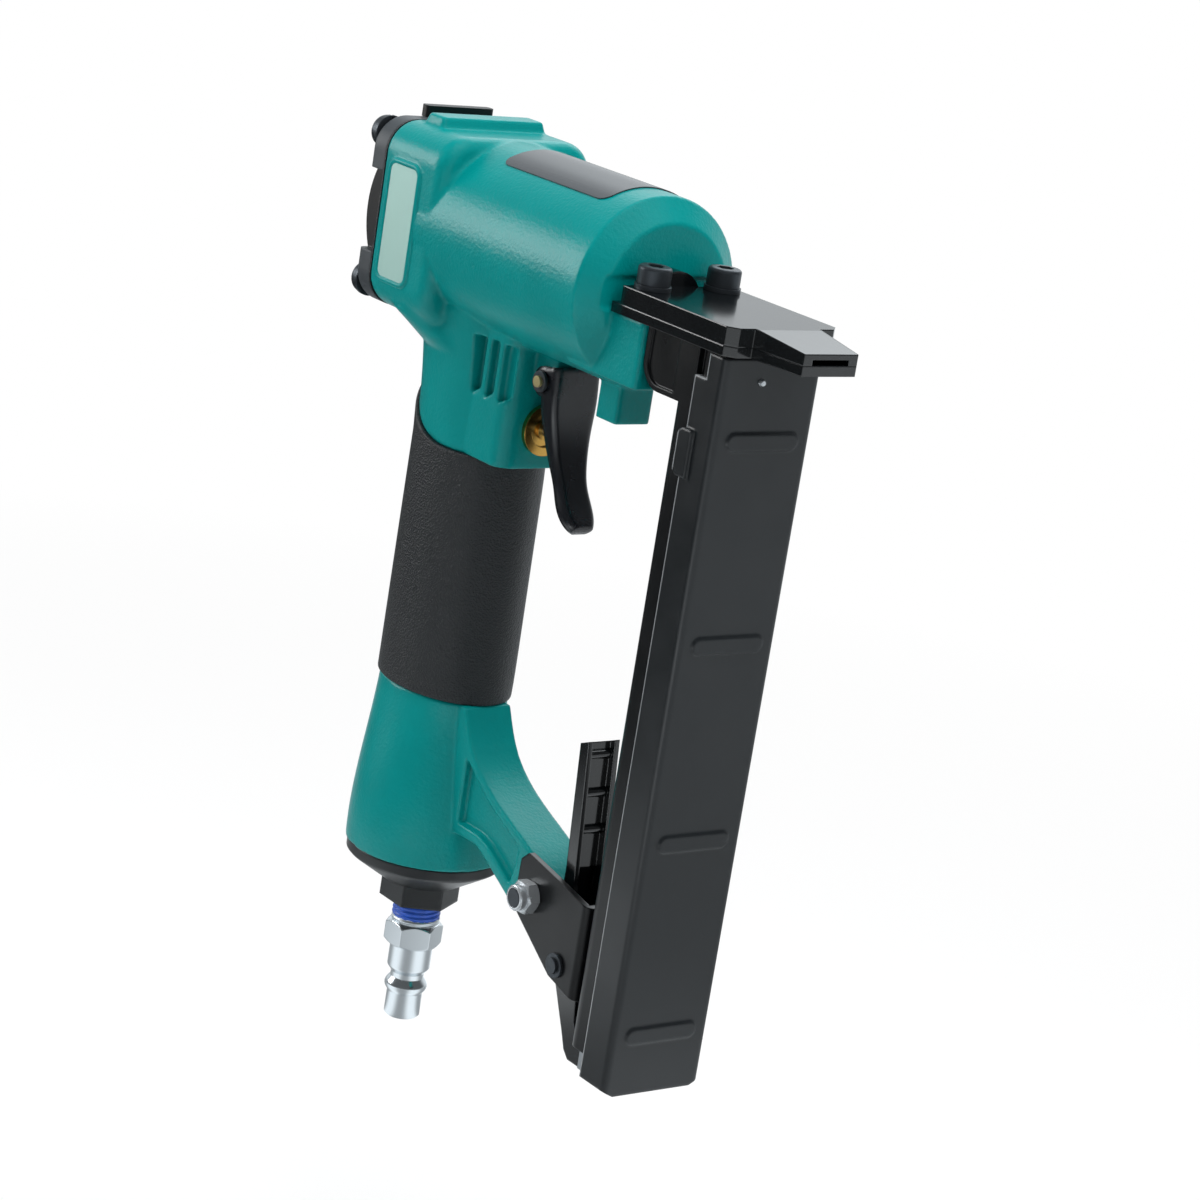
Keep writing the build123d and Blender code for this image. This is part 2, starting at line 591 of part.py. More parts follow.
    # Screw holes: cap, nose plates, trigger pin and bracket bolt
    with BuildSketch(Plane.YZ.offset(HEAD_BACK)):
        with Locations((0, AXIS_Z)):
            with GridLocations(CAP_SCREW_DY, CAP_SCREW_DZ, 2, 2):
                Circle(SCREW_R + SEAT_GAP)
    extrude(amount=CAP_SCREW_REACH + 1, mode=Mode.SUBTRACT)
    with BuildSketch(Plane.XY.offset(BASE_BOTTOM)):
        with Locations((NOSE_SCREW_X, 0)):
            with GridLocations(1, NOSE_SCREW_DY, 1, 2):
                Circle(SCREW_R + SEAT_GAP)
    extrude(amount=-NOSE_SCREW_REACH - 1, mode=Mode.SUBTRACT)
    with BuildSketch(Plane.XZ):
        with Locations((PIVOT_X, PIVOT_Z)):
            Circle(PIVOT_R + SEAT_GAP)
        with Locations((BOLT_X, BOLT_Z)):
            Circle(SCREW_R + SEAT_GAP)
    extrude(amount=ARM_WIDTH, both=True, mode=Mode.SUBTRACT)
    # Seat of the name plate
    with BuildSketch(Plane.XZ.offset(HEAD_WIDTH / 2 + FRAME_PROUD)):
        with Locations((PLATE_X, PLATE_Z)):
            RectangleRounded(
                PLATE_LENGTH + 2 * SEAT_GAP, PLATE_HEIGHT + 2 * SEAT_GAP, PLATE_CORNER + SEAT_GAP
            )
    extrude(amount=-PLATE_RECESS, mode=Mode.SUBTRACT)
body.part.label = "body"
export_step(body.part, "parts/body.step")

# Bare name plate on the head's side
with BuildPart() as name_plate:
    with BuildSketch(Plane.XZ.offset(HEAD_WIDTH / 2 + FRAME_PROUD - PLATE_RECESS)):
        with Locations((PLATE_X, PLATE_Z)):
            RectangleRounded(PLATE_LENGTH, PLATE_HEIGHT, PLATE_CORNER)
    extrude(amount=PLATE_THICK)
name_plate.part.label = "name_plate"
export_step(name_plate.part, "parts/name_plate.step")

# Bare label, a thin shell bent over the barrel
LABEL_R = BARREL_R + SEAT_GAP
with BuildPart() as label_plate:
    with BuildSketch(Plane.YZ.offset(LABEL_START)):
        with BuildLine():
            inner = CenterArc((0, AXIS_Z), LABEL_R, 90 - LABEL_ANGLE / 2, LABEL_ANGLE)
            outer = CenterArc((0, AXIS_Z), LABEL_R + LABEL_THICK, 90 - LABEL_ANGLE / 2, LABEL_ANGLE)
            Line(inner @ 0, outer @ 0)
            Line(inner @ 1, outer @ 1)
        make_face()
    extrude(amount=LABEL_LENGTH)
    fillet(label_plate.edges().group_by(SortBy.LENGTH)[0], radius=LABEL_CORNER)
label_plate.part.label = "label_plate"
export_step(label_plate.part, "parts/label_plate.step")

# Cylinder, bumper and driver
with BuildPart() as cylinder_sleeve:
    with BuildSketch(Plane.YZ.offset(CYLINDER_BACK)):
        with Locations((0, AXIS_Z)):
            Circle(CYLINDER_OUT)
            Circle(CYLINDER_R, mode=Mode.SUBTRACT)
    extrude(amount=BUMPER_BACK - CYLINDER_BACK)
cylinder_sleeve.part.label = "cylinder_sleeve"
export_step(cylinder_sleeve.part, "parts/cylinder_sleeve.step")

with BuildPart() as bumper:
    with BuildSketch(Plane.YZ.offset(BUMPER_BACK)):
        with Locations((0, AXIS_Z)):
            Circle(CYLINDER_OUT)
            Circle(BUMPER_HOLE, mode=Mode.SUBTRACT)
    extrude(amount=BORE_FRONT - BUMPER_BACK)
bumper.part.label = "bumper"
export_step(bumper.part, "parts/bumper.step")

PISTON_R = CYLINDER_R - RUN_GAP
GROOVE_X = PISTON_BACK + (PISTON_LENGTH - RING_SECTION) / 2
with BuildPart() as piston:
    with BuildSketch(Plane.YZ.offset(PISTON_BACK)):
        with Locations((0, AXIS_Z)):
            Circle(PISTON_R)
    extrude(amount=PISTON_LENGTH)
    with BuildSketch(Plane.YZ.offset(PISTON_FRONT)):
        with Locations((0, AXIS_Z)):
            Circle(PISTON_STEM_R)
    extrude(amount=PISTON_STEM)
    with BuildSketch(Plane.YZ.offset(GROOVE_X - SEAT_GAP)):
        with Locations((0, AXIS_Z)):
            Circle(PISTON_R + 1)
            Circle(PISTON_R - RING_SECTION, mode=Mode.SUBTRACT)
    extrude(amount=RING_SECTION + 2 * SEAT_GAP, mode=Mode.SUBTRACT)
    with BuildSketch(Plane.YZ.offset(PISTON_FRONT - BLADE_ROOT)):
        with Locations((0, AXIS_Z)):
            Rectangle(BLADE_WIDTH + 2 * SEAT_GAP, BLADE_THICK + 2 * SEAT_GAP)
    extrude(amount=BLADE_ROOT + PISTON_STEM + 1, mode=Mode.SUBTRACT)
    with BuildSketch(Plane.XY.offset(AXIS_Z)):
        with Locations((PISTON_FRONT + PISTON_STEM / 2, 0)):
            Circle(BLADE_PIN_R + SEAT_GAP)
    extrude(amount=2 * PISTON_STEM_R, both=True, mode=Mode.SUBTRACT)
piston.part.label = "piston"
export_step(piston.part, "parts/piston.step")

with BuildPart() as piston_ring:
    with BuildSketch(Plane.YZ.offset(GROOVE_X)):
        with Locations((0, AXIS_Z)):
            Circle(PISTON_R)
            Circle(PISTON_R - RING_SECTION + SEAT_GAP, mode=Mode.SUBTRACT)
    extrude(amount=RING_SECTION)
piston_ring.part.label = "piston_ring"
export_step(piston_ring.part, "parts/piston_ring.step")

with BuildPart() as driver_blade:
    with BuildSketch(Plane.YZ.offset(PISTON_FRONT - BLADE_ROOT + SEAT_GAP)):
        with Locations((0, AXIS_Z)):
            Rectangle(BLADE_WIDTH, BLADE_THICK)
    extrude(amount=BLADE_TIP - PISTON_FRONT + BLADE_ROOT - SEAT_GAP)
    with BuildSketch(Plane.XY.offset(AXIS_Z)):
        with Locations((PISTON_FRONT + PISTON_STEM / 2, 0)):
            Circle(BLADE_PIN_R + SEAT_GAP)
    extrude(amount=BLADE_THICK, both=True, mode=Mode.SUBTRACT)
driver_blade.part.label = "driver_blade"
export_step(driver_blade.part, "parts/driver_blade.step")

with BuildPart() as driver_pin:
    with BuildSketch(Plane.XY.offset(AXIS_Z)):
        with Locations((PISTON_FRONT + PISTON_STEM / 2, 0)):
            Circle(BLADE_PIN_R)
    extrude(amount=PISTON_STEM_R - 0.5, both=True)
driver_pin.part.label = "driver_pin"
export_step(driver_pin.part, "parts/driver_pin.step")

# Head valve behind the cylinder, its seal and its spring
HEAD_VALVE_R = HEAD_BORE_R - 2 * RUN_GAP
SEAL_X = HEAD_VALVE_BACK + (HEAD_VALVE_LENGTH - SEAL_SECTION) / 2
with BuildPart() as head_valve:
    with BuildSketch(Plane.YZ.offset(HEAD_VALVE_BACK)):
        with Locations((0, AXIS_Z)):
            Circle(HEAD_VALVE_R)
    extrude(amount=HEAD_VALVE_LENGTH)
    with BuildSketch(Plane.YZ.offset(HEAD_VALVE_BACK)):
        with Locations((0, AXIS_Z)):
            Circle(HEAD_VALVE_R - HEAD_VALVE_WALL)
    extrude(amount=HEAD_VALVE_LENGTH - HEAD_VALVE_FACE, mode=Mode.SUBTRACT)
    with BuildSketch(Plane.YZ.offset(SEAL_X - SEAT_GAP)):
        with Locations((0, AXIS_Z)):
            Circle(HEAD_VALVE_R + 1)
            Circle(HEAD_VALVE_R - SEAL_SECTION, mode=Mode.SUBTRACT)
    extrude(amount=SEAL_SECTION + 2 * SEAT_GAP, mode=Mode.SUBTRACT)
head_valve.part.label = "head_valve"
export_step(head_valve.part, "parts/head_valve.step")

with BuildPart() as head_valve_seal:
    with BuildSketch(Plane.YZ.offset(SEAL_X)):
        with Locations((0, AXIS_Z)):
            Circle(HEAD_VALVE_R)
            Circle(HEAD_VALVE_R - SEAL_SECTION + SEAT_GAP, mode=Mode.SUBTRACT)
    extrude(amount=SEAL_SECTION)
head_valve_seal.part.label = "head_valve_seal"
export_step(head_valve_seal.part, "parts/head_valve_seal.step")

head_spring_start = (CAP_FRONT + HEAD_SPRING_WIRE / 2 + FREE_GAP, 0, AXIS_Z)
head_spring_room = VALVE_SEAT - HEAD_VALVE_FACE - CAP_FRONT
head_spring_path, head_spring_plane = coil_path(
    "head_valve_spring", head_spring_start, (1, 0, 0), HEAD_SPRING_R,
    head_spring_room - HEAD_SPRING_WIRE - 2 * FREE_GAP, HEAD_SPRING_TURNS, HEAD_SPRING_WIRE,
)
with BuildPart() as head_valve_spring:
    with BuildLine():
        add(head_spring_path)
    with BuildSketch(head_spring_plane):
        Circle(HEAD_SPRING_WIRE / 2)
    sweep()
head_valve_spring.part.label = "head_valve_spring"
export_step(head_valve_spring.part, "parts/head_valve_spring.step")

# Cap, gasket, deflector and cap screws
with BuildPart() as cap_gasket:
    with BuildSketch(Plane.YZ.offset(CAP_FRONT)):
        with Locations((0, AXIS_Z)):
            RectangleRounded(HEAD_WIDTH, HEAD_HEIGHT, HEAD_CORNER)
            Circle(HEAD_BORE_R, mode=Mode.SUBTRACT)
            with GridLocations(CAP_SCREW_DY, CAP_SCREW_DZ, 2, 2):
                Circle(SCREW_R + SEAT_GAP, mode=Mode.SUBTRACT)
    extrude(amount=GASKET_THICK)
cap_gasket.part.label = "cap_gasket"
export_step(cap_gasket.part, "parts/cap_gasket.step")

with BuildPart() as cylinder_cap:
    with BuildSketch(Plane.YZ.offset(CAP_BACK)):
        with Locations((0, AXIS_Z)):
            RectangleRounded(HEAD_WIDTH, HEAD_HEIGHT, HEAD_CORNER)
    extrude(amount=CAP_THICK)
    fillet(cylinder_cap.faces().sort_by(Axis.X)[0].edges(), radius=CAP_EDGE)
    with BuildSketch(Plane.XZ):
        with BuildLine():
            crown_low = (CAP_BACK, AXIS_Z - CAP_NOTCH_HEIGHT / 2)
            crown_top = (CAP_BACK, AXIS_Z + CAP_NOTCH_HEIGHT / 2)
            ThreePointArc(crown_low, (CAP_BACK - CAP_CROWN_PROUD, AXIS_Z), crown_top)
            Line(crown_top, crown_low)
        make_face()
    extrude(amount=HEAD_WIDTH / 2 - CAP_NOTCH_DEPTH, both=True)
    with BuildSketch(Plane.YZ.offset(CAP_BACK - 1)):
        with Locations((HEAD_WIDTH / 2, AXIS_Z), (-HEAD_WIDTH / 2, AXIS_Z)):
            Rectangle(2 * CAP_NOTCH_DEPTH, CAP_NOTCH_HEIGHT)
    extrude(amount=CAP_THICK + 1, mode=Mode.SUBTRACT)
    with BuildSketch(Plane.YZ.offset(CAP_BACK)):
        with Locations((0, AXIS_Z)):
            with GridLocations(CAP_SCREW_DY, CAP_SCREW_DZ, 2, 2):
                Circle(SCREW_R + SEAT_GAP)
    extrude(amount=CAP_THICK, mode=Mode.SUBTRACT)
cylinder_cap.part.label = "cylinder_cap"
export_step(cylinder_cap.part, "parts/cylinder_cap.step")

with BuildPart() as exhaust_deflector:
    with BuildSketch(Plane.XY.offset(HEAD_TOP)):
        with Locations((CAP_BACK + (DEFLECTOR_LENGTH + CAP_EDGE / 2) / 2, 0)):
            RectangleRounded(DEFLECTOR_LENGTH, DEFLECTOR_WIDTH, 1.2)
    extrude(amount=DEFLECTOR_HEIGHT)
exhaust_deflector.part.label = "exhaust_deflector"
export_step(exhaust_deflector.part, "parts/exhaust_deflector.step")

with BuildPart() as cap_washers:
    with BuildSketch(Plane.YZ.offset(CAP_BACK)):
        with Locations((0, AXIS_Z)):
            with GridLocations(CAP_SCREW_DY, CAP_SCREW_DZ, 2, 2):
                Circle(WASHER_R)
                Circle(SCREW_R + SEAT_GAP, mode=Mode.SUBTRACT)
                Rectangle(WASHER_SPLIT, WASHER_R + 1, align=(Align.CENTER, Align.MIN), mode=Mode.SUBTRACT)
    extrude(amount=-WASHER_THICK)
cap_washers.part.label = "cap_washers"
export_step(cap_washers.part, "parts/cap_washers.step")

with BuildPart() as cap_screws:
    with BuildSketch(Plane.YZ.offset(CAP_BACK - WASHER_THICK)):
        with Locations((0, AXIS_Z)):
            with GridLocations(CAP_SCREW_DY, CAP_SCREW_DZ, 2, 2):
                Circle(BUTTON_R)
    extrude(amount=-BUTTON_HEAD)
    fillet(cap_screws.faces().group_by(Axis.X)[0].edges(), radius=BUTTON_EDGE)
    with BuildSketch(Plane.YZ.offset(CAP_BACK - WASHER_THICK)):
        with Locations((0, AXIS_Z)):
            with GridLocations(CAP_SCREW_DY, CAP_SCREW_DZ, 2, 2):
                Circle(SCREW_R)
    extrude(amount=WASHER_THICK + CAP_THICK + GASKET_THICK + CAP_SCREW_REACH)
    with BuildSketch(Plane.YZ.offset(CAP_BACK - WASHER_THICK - BUTTON_HEAD)):
        with Locations((0, AXIS_Z)):
            with GridLocations(CAP_SCREW_DY, CAP_SCREW_DZ, 2, 2):
                RegularPolygon(BUTTON_AF / 2 * HEX, 6)
    extrude(amount=BUTTON_SOCKET, mode=Mode.SUBTRACT)
cap_screws.part.label = "cap_screws"
export_step(cap_screws.part, "parts/cap_screws.step")

# Nose: half-round blade guide, base plate with the magazine's window, front plate with the slot
with BuildPart() as blade_guide:
    with BuildSketch(Plane.YZ.offset(BARREL_FRONT)):
        with Locations((0, AXIS_Z)):
            Circle(GUIDE_DISC_R)
            Rectangle(SLOT_WIDTH, SLOT_TOP - SLOT_BOTTOM, mode=Mode.SUBTRACT)
        with Locations((0, BASE_BOTTOM)):
            Rectangle(3 * GUIDE_DISC_R, 2 * GUIDE_DISC_R, align=(Align.CENTER, Align.MAX), mode=Mode.SUBTRACT)
    extrude(amount=GUIDE_BACK - BARREL_FRONT)
blade_guide.part.label = "blade_guide"
export_step(blade_guide.part, "parts/blade_guide.step")

GUIDE_NECK = [
    (GUIDE_SHOULDER - GUIDE_CORNER, GUIDE_HALF),
    (GUIDE_SHOULDER, GUIDE_HALF - GUIDE_CORNER),
    (GUIDE_SHOULDER, GUIDE_NECK_HALF),
    (GUIDE_TIP, GUIDE_TIP_HALF),
]
GUIDE_NECK_FAR = [(x, -y) for x, y in reversed(GUIDE_NECK)]

with BuildPart() as base_plate:
    with BuildSketch(Plane.XY.offset(BASE_BOTTOM)):
        with BuildLine():
            Polyline(
                (BASE_BACK, GUIDE_HALF), *GUIDE_NECK, *GUIDE_NECK_FAR, (BASE_BACK, -GUIDE_HALF), close=True
            )
        make_face()
        with Locations((BASE_BACK, 0)):
            Rectangle(2 * (GUIDE_BACK - BASE_BACK), 2 * GUIDE_DISC_R + 1, mode=Mode.SUBTRACT)
        with Locations((CHANNEL_BACK, 0)):
            Rectangle(
                COVER_INNER - CHANNEL_BACK, 2 * CHANNEL_HALF,
                align=(Align.MIN, Align.CENTER), mode=Mode.SUBTRACT,
            )
        with Locations((NOSE_SCREW_X, 0)):
            with GridLocations(1, NOSE_SCREW_DY, 1, 2):
                Circle(SCREW_R + SEAT_GAP, mode=Mode.SUBTRACT)
    extrude(amount=BASE_THICK)
base_plate.part.label = "base_plate"
export_step(base_plate.part, "parts/base_plate.step")

with BuildPart() as front_plate:
    with BuildSketch(Plane.XY.offset(SLOT_BOTTOM)):
        with BuildLine():
            Polyline(
                (GUIDE_BACK, GUIDE_HALF), *GUIDE_NECK, *GUIDE_NECK_FAR, (GUIDE_BACK, -GUIDE_HALF), close=True
            )
        make_face()
        with Locations((NOSE_SCREW_X, 0)):
            with GridLocations(1, NOSE_SCREW_DY, 1, 2):
                Circle(SCREW_R + SEAT_GAP, mode=Mode.SUBTRACT)
    extrude(amount=GUIDE_THICK)
    with BuildSketch(Plane.YZ.offset(GUIDE_BACK)):
        with Locations((0, SLOT_BOTTOM)):
            Rectangle(SLOT_WIDTH, SLOT_TOP - SLOT_BOTTOM, align=(Align.CENTER, Align.MIN))
    extrude(amount=GUIDE_TIP - GUIDE_BACK, mode=Mode.SUBTRACT)
    # Upper face slopes down to the tip
    with BuildSketch(Plane.XZ):
        with BuildLine():
            Polyline(
                (GUIDE_SLOPE_START, GUIDE_TOP),
                (GUIDE_TIP, SLOT_TOP + GUIDE_TIP_WALL),
                (GUIDE_TIP, GUIDE_TOP),
                close=True,
            )
        make_face()
    extrude(amount=GUIDE_HALF, both=True, mode=Mode.SUBTRACT)
front_plate.part.label = "front_plate"
export_step(front_plate.part, "parts/front_plate.step")

with BuildPart() as nose_washers:
    with BuildSketch(Plane.XY.offset(GUIDE_TOP)):
        with Locations((NOSE_SCREW_X, 0)):
            with GridLocations(1, NOSE_SCREW_DY, 1, 2):
                Circle(WASHER_R)
                Circle(SCREW_R + SEAT_GAP, mode=Mode.SUBTRACT)
                Rectangle(WASHER_SPLIT, WASHER_R + 1, align=(Align.CENTER, Align.MIN), mode=Mode.SUBTRACT)
    extrude(amount=WASHER_THICK)
nose_washers.part.label = "nose_washers"
export_step(nose_washers.part, "parts/nose_washers.step")

with BuildPart() as nose_screws:
    with BuildSketch(Plane.XY.offset(GUIDE_TOP + WASHER_THICK)):
        with Locations((NOSE_SCREW_X, 0)):
            with GridLocations(1, NOSE_SCREW_DY, 1, 2):
                Circle(HEAD_R)
    extrude(amount=SOCKET_HEAD)
    fillet(nose_screws.faces().group_by(Axis.Z)[-1].edges(), radius=SOCKET_EDGE)
    with BuildSketch(Plane.XY.offset(BASE_BOTTOM - NOSE_SCREW_REACH)):
        with Locations((NOSE_SCREW_X, 0)):
            with GridLocations(1, NOSE_SCREW_DY, 1, 2):
                Circle(SCREW_R)
    extrude(amount=NOSE_SCREW_REACH + BASE_THICK + GUIDE_THICK + WASHER_THICK)
    with BuildSketch(Plane.XY.offset(GUIDE_TOP + WASHER_THICK + SOCKET_HEAD)):
        with Locations((NOSE_SCREW_X, 0)):
            with GridLocations(1, NOSE_SCREW_DY, 1, 2):
                RegularPolygon(SOCKET_AF / 2 * HEX, 6)
    extrude(amount=-SOCKET_DEPTH, mode=Mode.SUBTRACT)
nose_screws.part.label = "nose_screws"
export_step(nose_screws.part, "parts/nose_screws.step")

# Fixed magazine rail in two halves: channel walls, shoulders, cover grooves, cheeks under the nose
GROOVE_BACK = COVER_EDGE - 2 * SLIDE_GAP
GROOVE_FRONT = COVER_EDGE + COVER_SHEET + 2 * SLIDE_GAP
RAIL_IN = COVER_WALL - SLIDE_GAP
GROOVE_HALF = COVER_WALL - COVER_LIP - SLIDE_GAP
RAIL_FRONT = COVER_INNER - FREE_GAP
WIDE_HALF = TAIL_HALF + FREE_GAP
CHEEK_FACE = RAIL_HALF - RAIL_LIP_PROUD
FROM_BACK = (Align.MIN, Align.CENTER)
with BuildPart() as magazine_rail:
    with BuildSketch(Plane.XY.offset(RAIL_BOTTOM)) as rail_section:
        with Locations((RAIL_BACK, 0)):
            Rectangle(GROOVE_BACK - RAIL_BACK, 2 * RAIL_HALF, align=FROM_BACK)
        fillet(rail_section.vertices().group_by(Axis.X)[0], radius=RAIL_BEND)
        with Locations((SPINE_BACK, 0)):
            Rectangle(RAIL_BACK - SPINE_BACK, 2 * SPINE_HALF, align=FROM_BACK)
        with Locations((GROOVE_BACK, 0)):
            Rectangle(GROOVE_FRONT - GROOVE_BACK, 2 * GROOVE_HALF, align=FROM_BACK)
        with Locations((GROOVE_FRONT, 0)):
            Rectangle(RAIL_FRONT - GROOVE_FRONT, 2 * RAIL_IN, align=FROM_BACK)
        with Locations((SPINE_BACK, 0)):
            Rectangle(RAIL_FRONT - SPINE_BACK, 2 * CHANNEL_HALF, align=FROM_BACK, mode=Mode.SUBTRACT)
        with Locations((RAIL_BACK + RAIL_WALL, 0)):
            Rectangle(RAIL_FRONT - RAIL_BACK, 2 * WIDE_HALF, align=FROM_BACK, mode=Mode.SUBTRACT)
    extrude(amount=RAIL_TOP - RAIL_BOTTOM)
    for side in (1, -1):
        with BuildSketch(Plane.XZ.offset(side * (RAIL_HALF - RAIL_HEAD_SHEET))) as cheek:
            with Locations((RAIL_HEAD_BACK, RAIL_TOP)):
                Rectangle(
                    RAIL_BACK + RAIL_BEND - RAIL_HEAD_BACK, RAIL_HEAD_HEIGHT, align=(Align.MIN, Align.MAX)
                )
            fillet(cheek.vertices().group_by(Axis.Y)[0].sort_by(Axis.X)[0], radius=RAIL_HEAD_CORNER)
        extrude(amount=side * RAIL_HEAD_SHEET)
        with BuildSketch(Plane.XZ.offset(side * CHEEK_FACE)) as cheek_face:
            with Locations((RAIL_HEAD_BACK + RAIL_LIP, RAIL_TOP)):
                Rectangle(
                    RAIL_BACK - RAIL_HEAD_BACK - RAIL_LIP, RAIL_HEAD_HEIGHT - RAIL_LIP,
                    align=(Align.MIN, Align.MAX),
                )
            inner_corner = cheek_face.vertices().group_by(Axis.Y)[0].sort_by(Axis.X)[0]
            fillet(inner_corner, radius=RAIL_HEAD_CORNER - RAIL_LIP)
        extrude(amount=side * RAIL_HEAD_SHEET, mode=Mode.SUBTRACT)
magazine_rail.part.label = "magazine_rail"
export_step(magazine_rail.part, "parts/magazine_rail.step")

# Spine: the strip between the two halves of the rail, which closes the staple channel's back
with BuildPart() as rail_spine:
    with BuildSketch(Plane.XY.offset(RAIL_BOTTOM)):
        with Locations((SPINE_BACK, 0)):
            Rectangle(RAIL_WALL, 2 * CHANNEL_HALF, align=FROM_BACK)
    extrude(amount=RAIL_TOP - RAIL_BOTTOM)
    with BuildSketch(Plane.YZ.offset(SPINE_BACK - 1)):
        with Locations((0, RIVET_Z)):
            with GridLocations(1, RIVET_PITCH, 1, 2):
                Circle(RIVET_R + SEAT_GAP)
    extrude(amount=RAIL_WALL + 1, mode=Mode.SUBTRACT)
rail_spine.part.label = "rail_spine"
export_step(rail_spine.part, "parts/rail_spine.step")

# Sliding cover: a channel with inward lips, pressed ribs, a notch at the top and a finger tab
with BuildPart() as magazine_cover:
    with BuildSketch(Plane.XY.offset(COVER_BOTTOM)) as cover_section:
        with Locations((COVER_EDGE, 0)):
            Rectangle(COVER_DEPTH, 2 * COVER_HALF, align=FROM_BACK)
        fillet(cover_section.vertices().group_by(Axis.X)[-1], radius=COVER_BEND)
        with Locations((COVER_EDGE, 0)):
            Rectangle(COVER_DEPTH - COVER_SHEET, 2 * COVER_WALL, align=FROM_BACK, mode=Mode.SUBTRACT)
        with Locations((COVER_EDGE, COVER_WALL - COVER_LIP), (COVER_EDGE, -COVER_WALL)):
            Rectangle(COVER_SHEET, COVER_LIP, align=(Align.MIN, Align.MIN))
    extrude(amount=COVER_TOP - COVER_BOTTOM)
    with BuildSketch(Plane.XZ):
        with Locations((COVER_EDGE, COVER_TOP)):
            Rectangle(2 * COVER_NOTCH_DEPTH, 2 * COVER_NOTCH_HEIGHT)
    extrude(amount=2 * COVER_HALF, both=True, mode=Mode.SUBTRACT)
    for side in (1, -1):
        with BuildSketch(Plane.YZ.offset(COVER_EDGE)):
            with BuildLine():
                Polyline(
                    (side * (COVER_HALF - COVER_CHAMFER), COVER_BOTTOM),
                    (side * COVER_HALF, COVER_BOTTOM),
                    (side * COVER_HALF, COVER_BOTTOM + COVER_CHAMFER / 2),
                    close=True,
                )
            make_face()
        extrude(amount=COVER_DEPTH, mode=Mode.SUBTRACT)
    with BuildSketch(Plane.YZ.offset(COVER_FACE)):
        with Locations(*[(0, RIB_FIRST + i * RIB_PITCH) for i in range(RIB_COUNT)]):
            SlotOverall(RIB_WIDTH, RIB_HEIGHT)
    extrude(amount=RIB_PROUD, taper=30)
    with BuildSketch(Plane.XZ.offset(COVER_HALF)) as tab:
        with Locations((COVER_EDGE - TAB_REACH, TAB_Z)):
            Rectangle(TAB_REACH + COVER_SHEET + 2, TAB_LENGTH, align=FROM_BACK)
        fillet(tab.vertices().group_by(Axis.X)[0], radius=2)
    extrude(amount=TAB_SHEET)
    with BuildSketch(Plane.YZ.offset(COVER_INNER)):
        with Locations((STUD_Y, RAIL_TOP - STUD_DROP)):
            Circle(STUD_R / 2 + SEAT_GAP)
    extrude(amount=COVER_SHEET, mode=Mode.SUBTRACT)
magazine_cover.part.label = "magazine_cover"
export_step(magazine_cover.part, "parts/magazine_cover.step")

with BuildPart() as cover_stud:
    with BuildSketch(Plane.YZ.offset(COVER_INNER)):
        with Locations((STUD_Y, RAIL_TOP - STUD_DROP)):
            Circle(STUD_R / 2)
    extrude(amount=COVER_SHEET)
    with BuildSketch(Plane.YZ.offset(COVER_FACE)):
        with Locations((STUD_Y, RAIL_TOP - STUD_DROP)):
            Circle(STUD_R)
    extrude(amount=STUD_HEIGHT, taper=20)
cover_stud.part.label = "cover_stud"
export_step(cover_stud.part, "parts/cover_stud.step")

# Inner rail, tail block, guide rod, pusher and spring, which ride in the cover
with BuildPart() as core_rail:
    with BuildSketch(Plane.XY.offset(TAIL_TOP)):
        with Locations((CORE_BACK, 0)):
            Rectangle(COVER_INNER - CORE_BACK, 2 * CORE_HALF, align=FROM_BACK)
            Rectangle(2 * CORE_SHEET, CORE_SLOT, mode=Mode.SUBTRACT)
        with Locations((CORE_BACK + CORE_SHEET, 0)):
            Rectangle(
                COVER_INNER - CORE_BACK - CORE_SHEET, 2 * (CORE_HALF - CORE_SHEET),
                align=FROM_BACK, mode=Mode.SUBTRACT,
            )
    extrude(amount=CORE_TOP - TAIL_TOP)
    with BuildSketch(Plane.XY.offset(CORE_TOP - CORE_BRIDGE)):
        with Locations((CORE_BACK + CORE_SHEET, 0)):
            Rectangle(COVER_INNER - CORE_BACK - CORE_SHEET, 2 * CORE_HALF, align=FROM_BACK)
        with Locations((ROD_X, 0)):
            Circle(ROD_R + SEAT_GAP, mode=Mode.SUBTRACT)
    extrude(amount=CORE_BRIDGE)
core_rail.part.label = "core_rail"
export_step(core_rail.part, "parts/core_rail.step")

TAIL_BACK = RAIL_BACK + RAIL_WALL + FREE_GAP
CLAW_END = LATCH_PIN_X + LATCH_CLAW[0][0]
with BuildPart() as tail_block:
    with BuildSketch(Plane.XY.offset(TAIL_BOTTOM)):
        with Locations((TAIL_BACK, 0)):
            Rectangle(COVER_INNER - TAIL_BACK, 2 * TAIL_HALF, align=FROM_BACK)
        with Locations((ROD_X, 0)):
            Circle(ROD_R + SEAT_GAP, mode=Mode.SUBTRACT)
    extrude(amount=TAIL_HEIGHT)
    with BuildSketch(Plane.XY.offset(TAIL_BOTTOM + 1)):
        with Locations((CLAW_END + FREE_GAP, 0)):
            Rectangle(TAIL_BACK - CLAW_END - FREE_GAP, 2 * TAIL_TONGUE_HALF, align=FROM_BACK)
    extrude(amount=TAIL_TONGUE_HEIGHT)
tail_block.part.label = "tail_block"
export_step(tail_block.part, "parts/tail_block.step")

with BuildPart() as guide_rod:
    with BuildSketch(Plane.XY.offset(TAIL_BOTTOM)):
        with Locations((ROD_X, 0)):
            Circle(ROD_R)
    extrude(amount=CORE_TOP - TAIL_BOTTOM)
guide_rod.part.label = "guide_rod"
export_step(guide_rod.part, "parts/guide_rod.step")

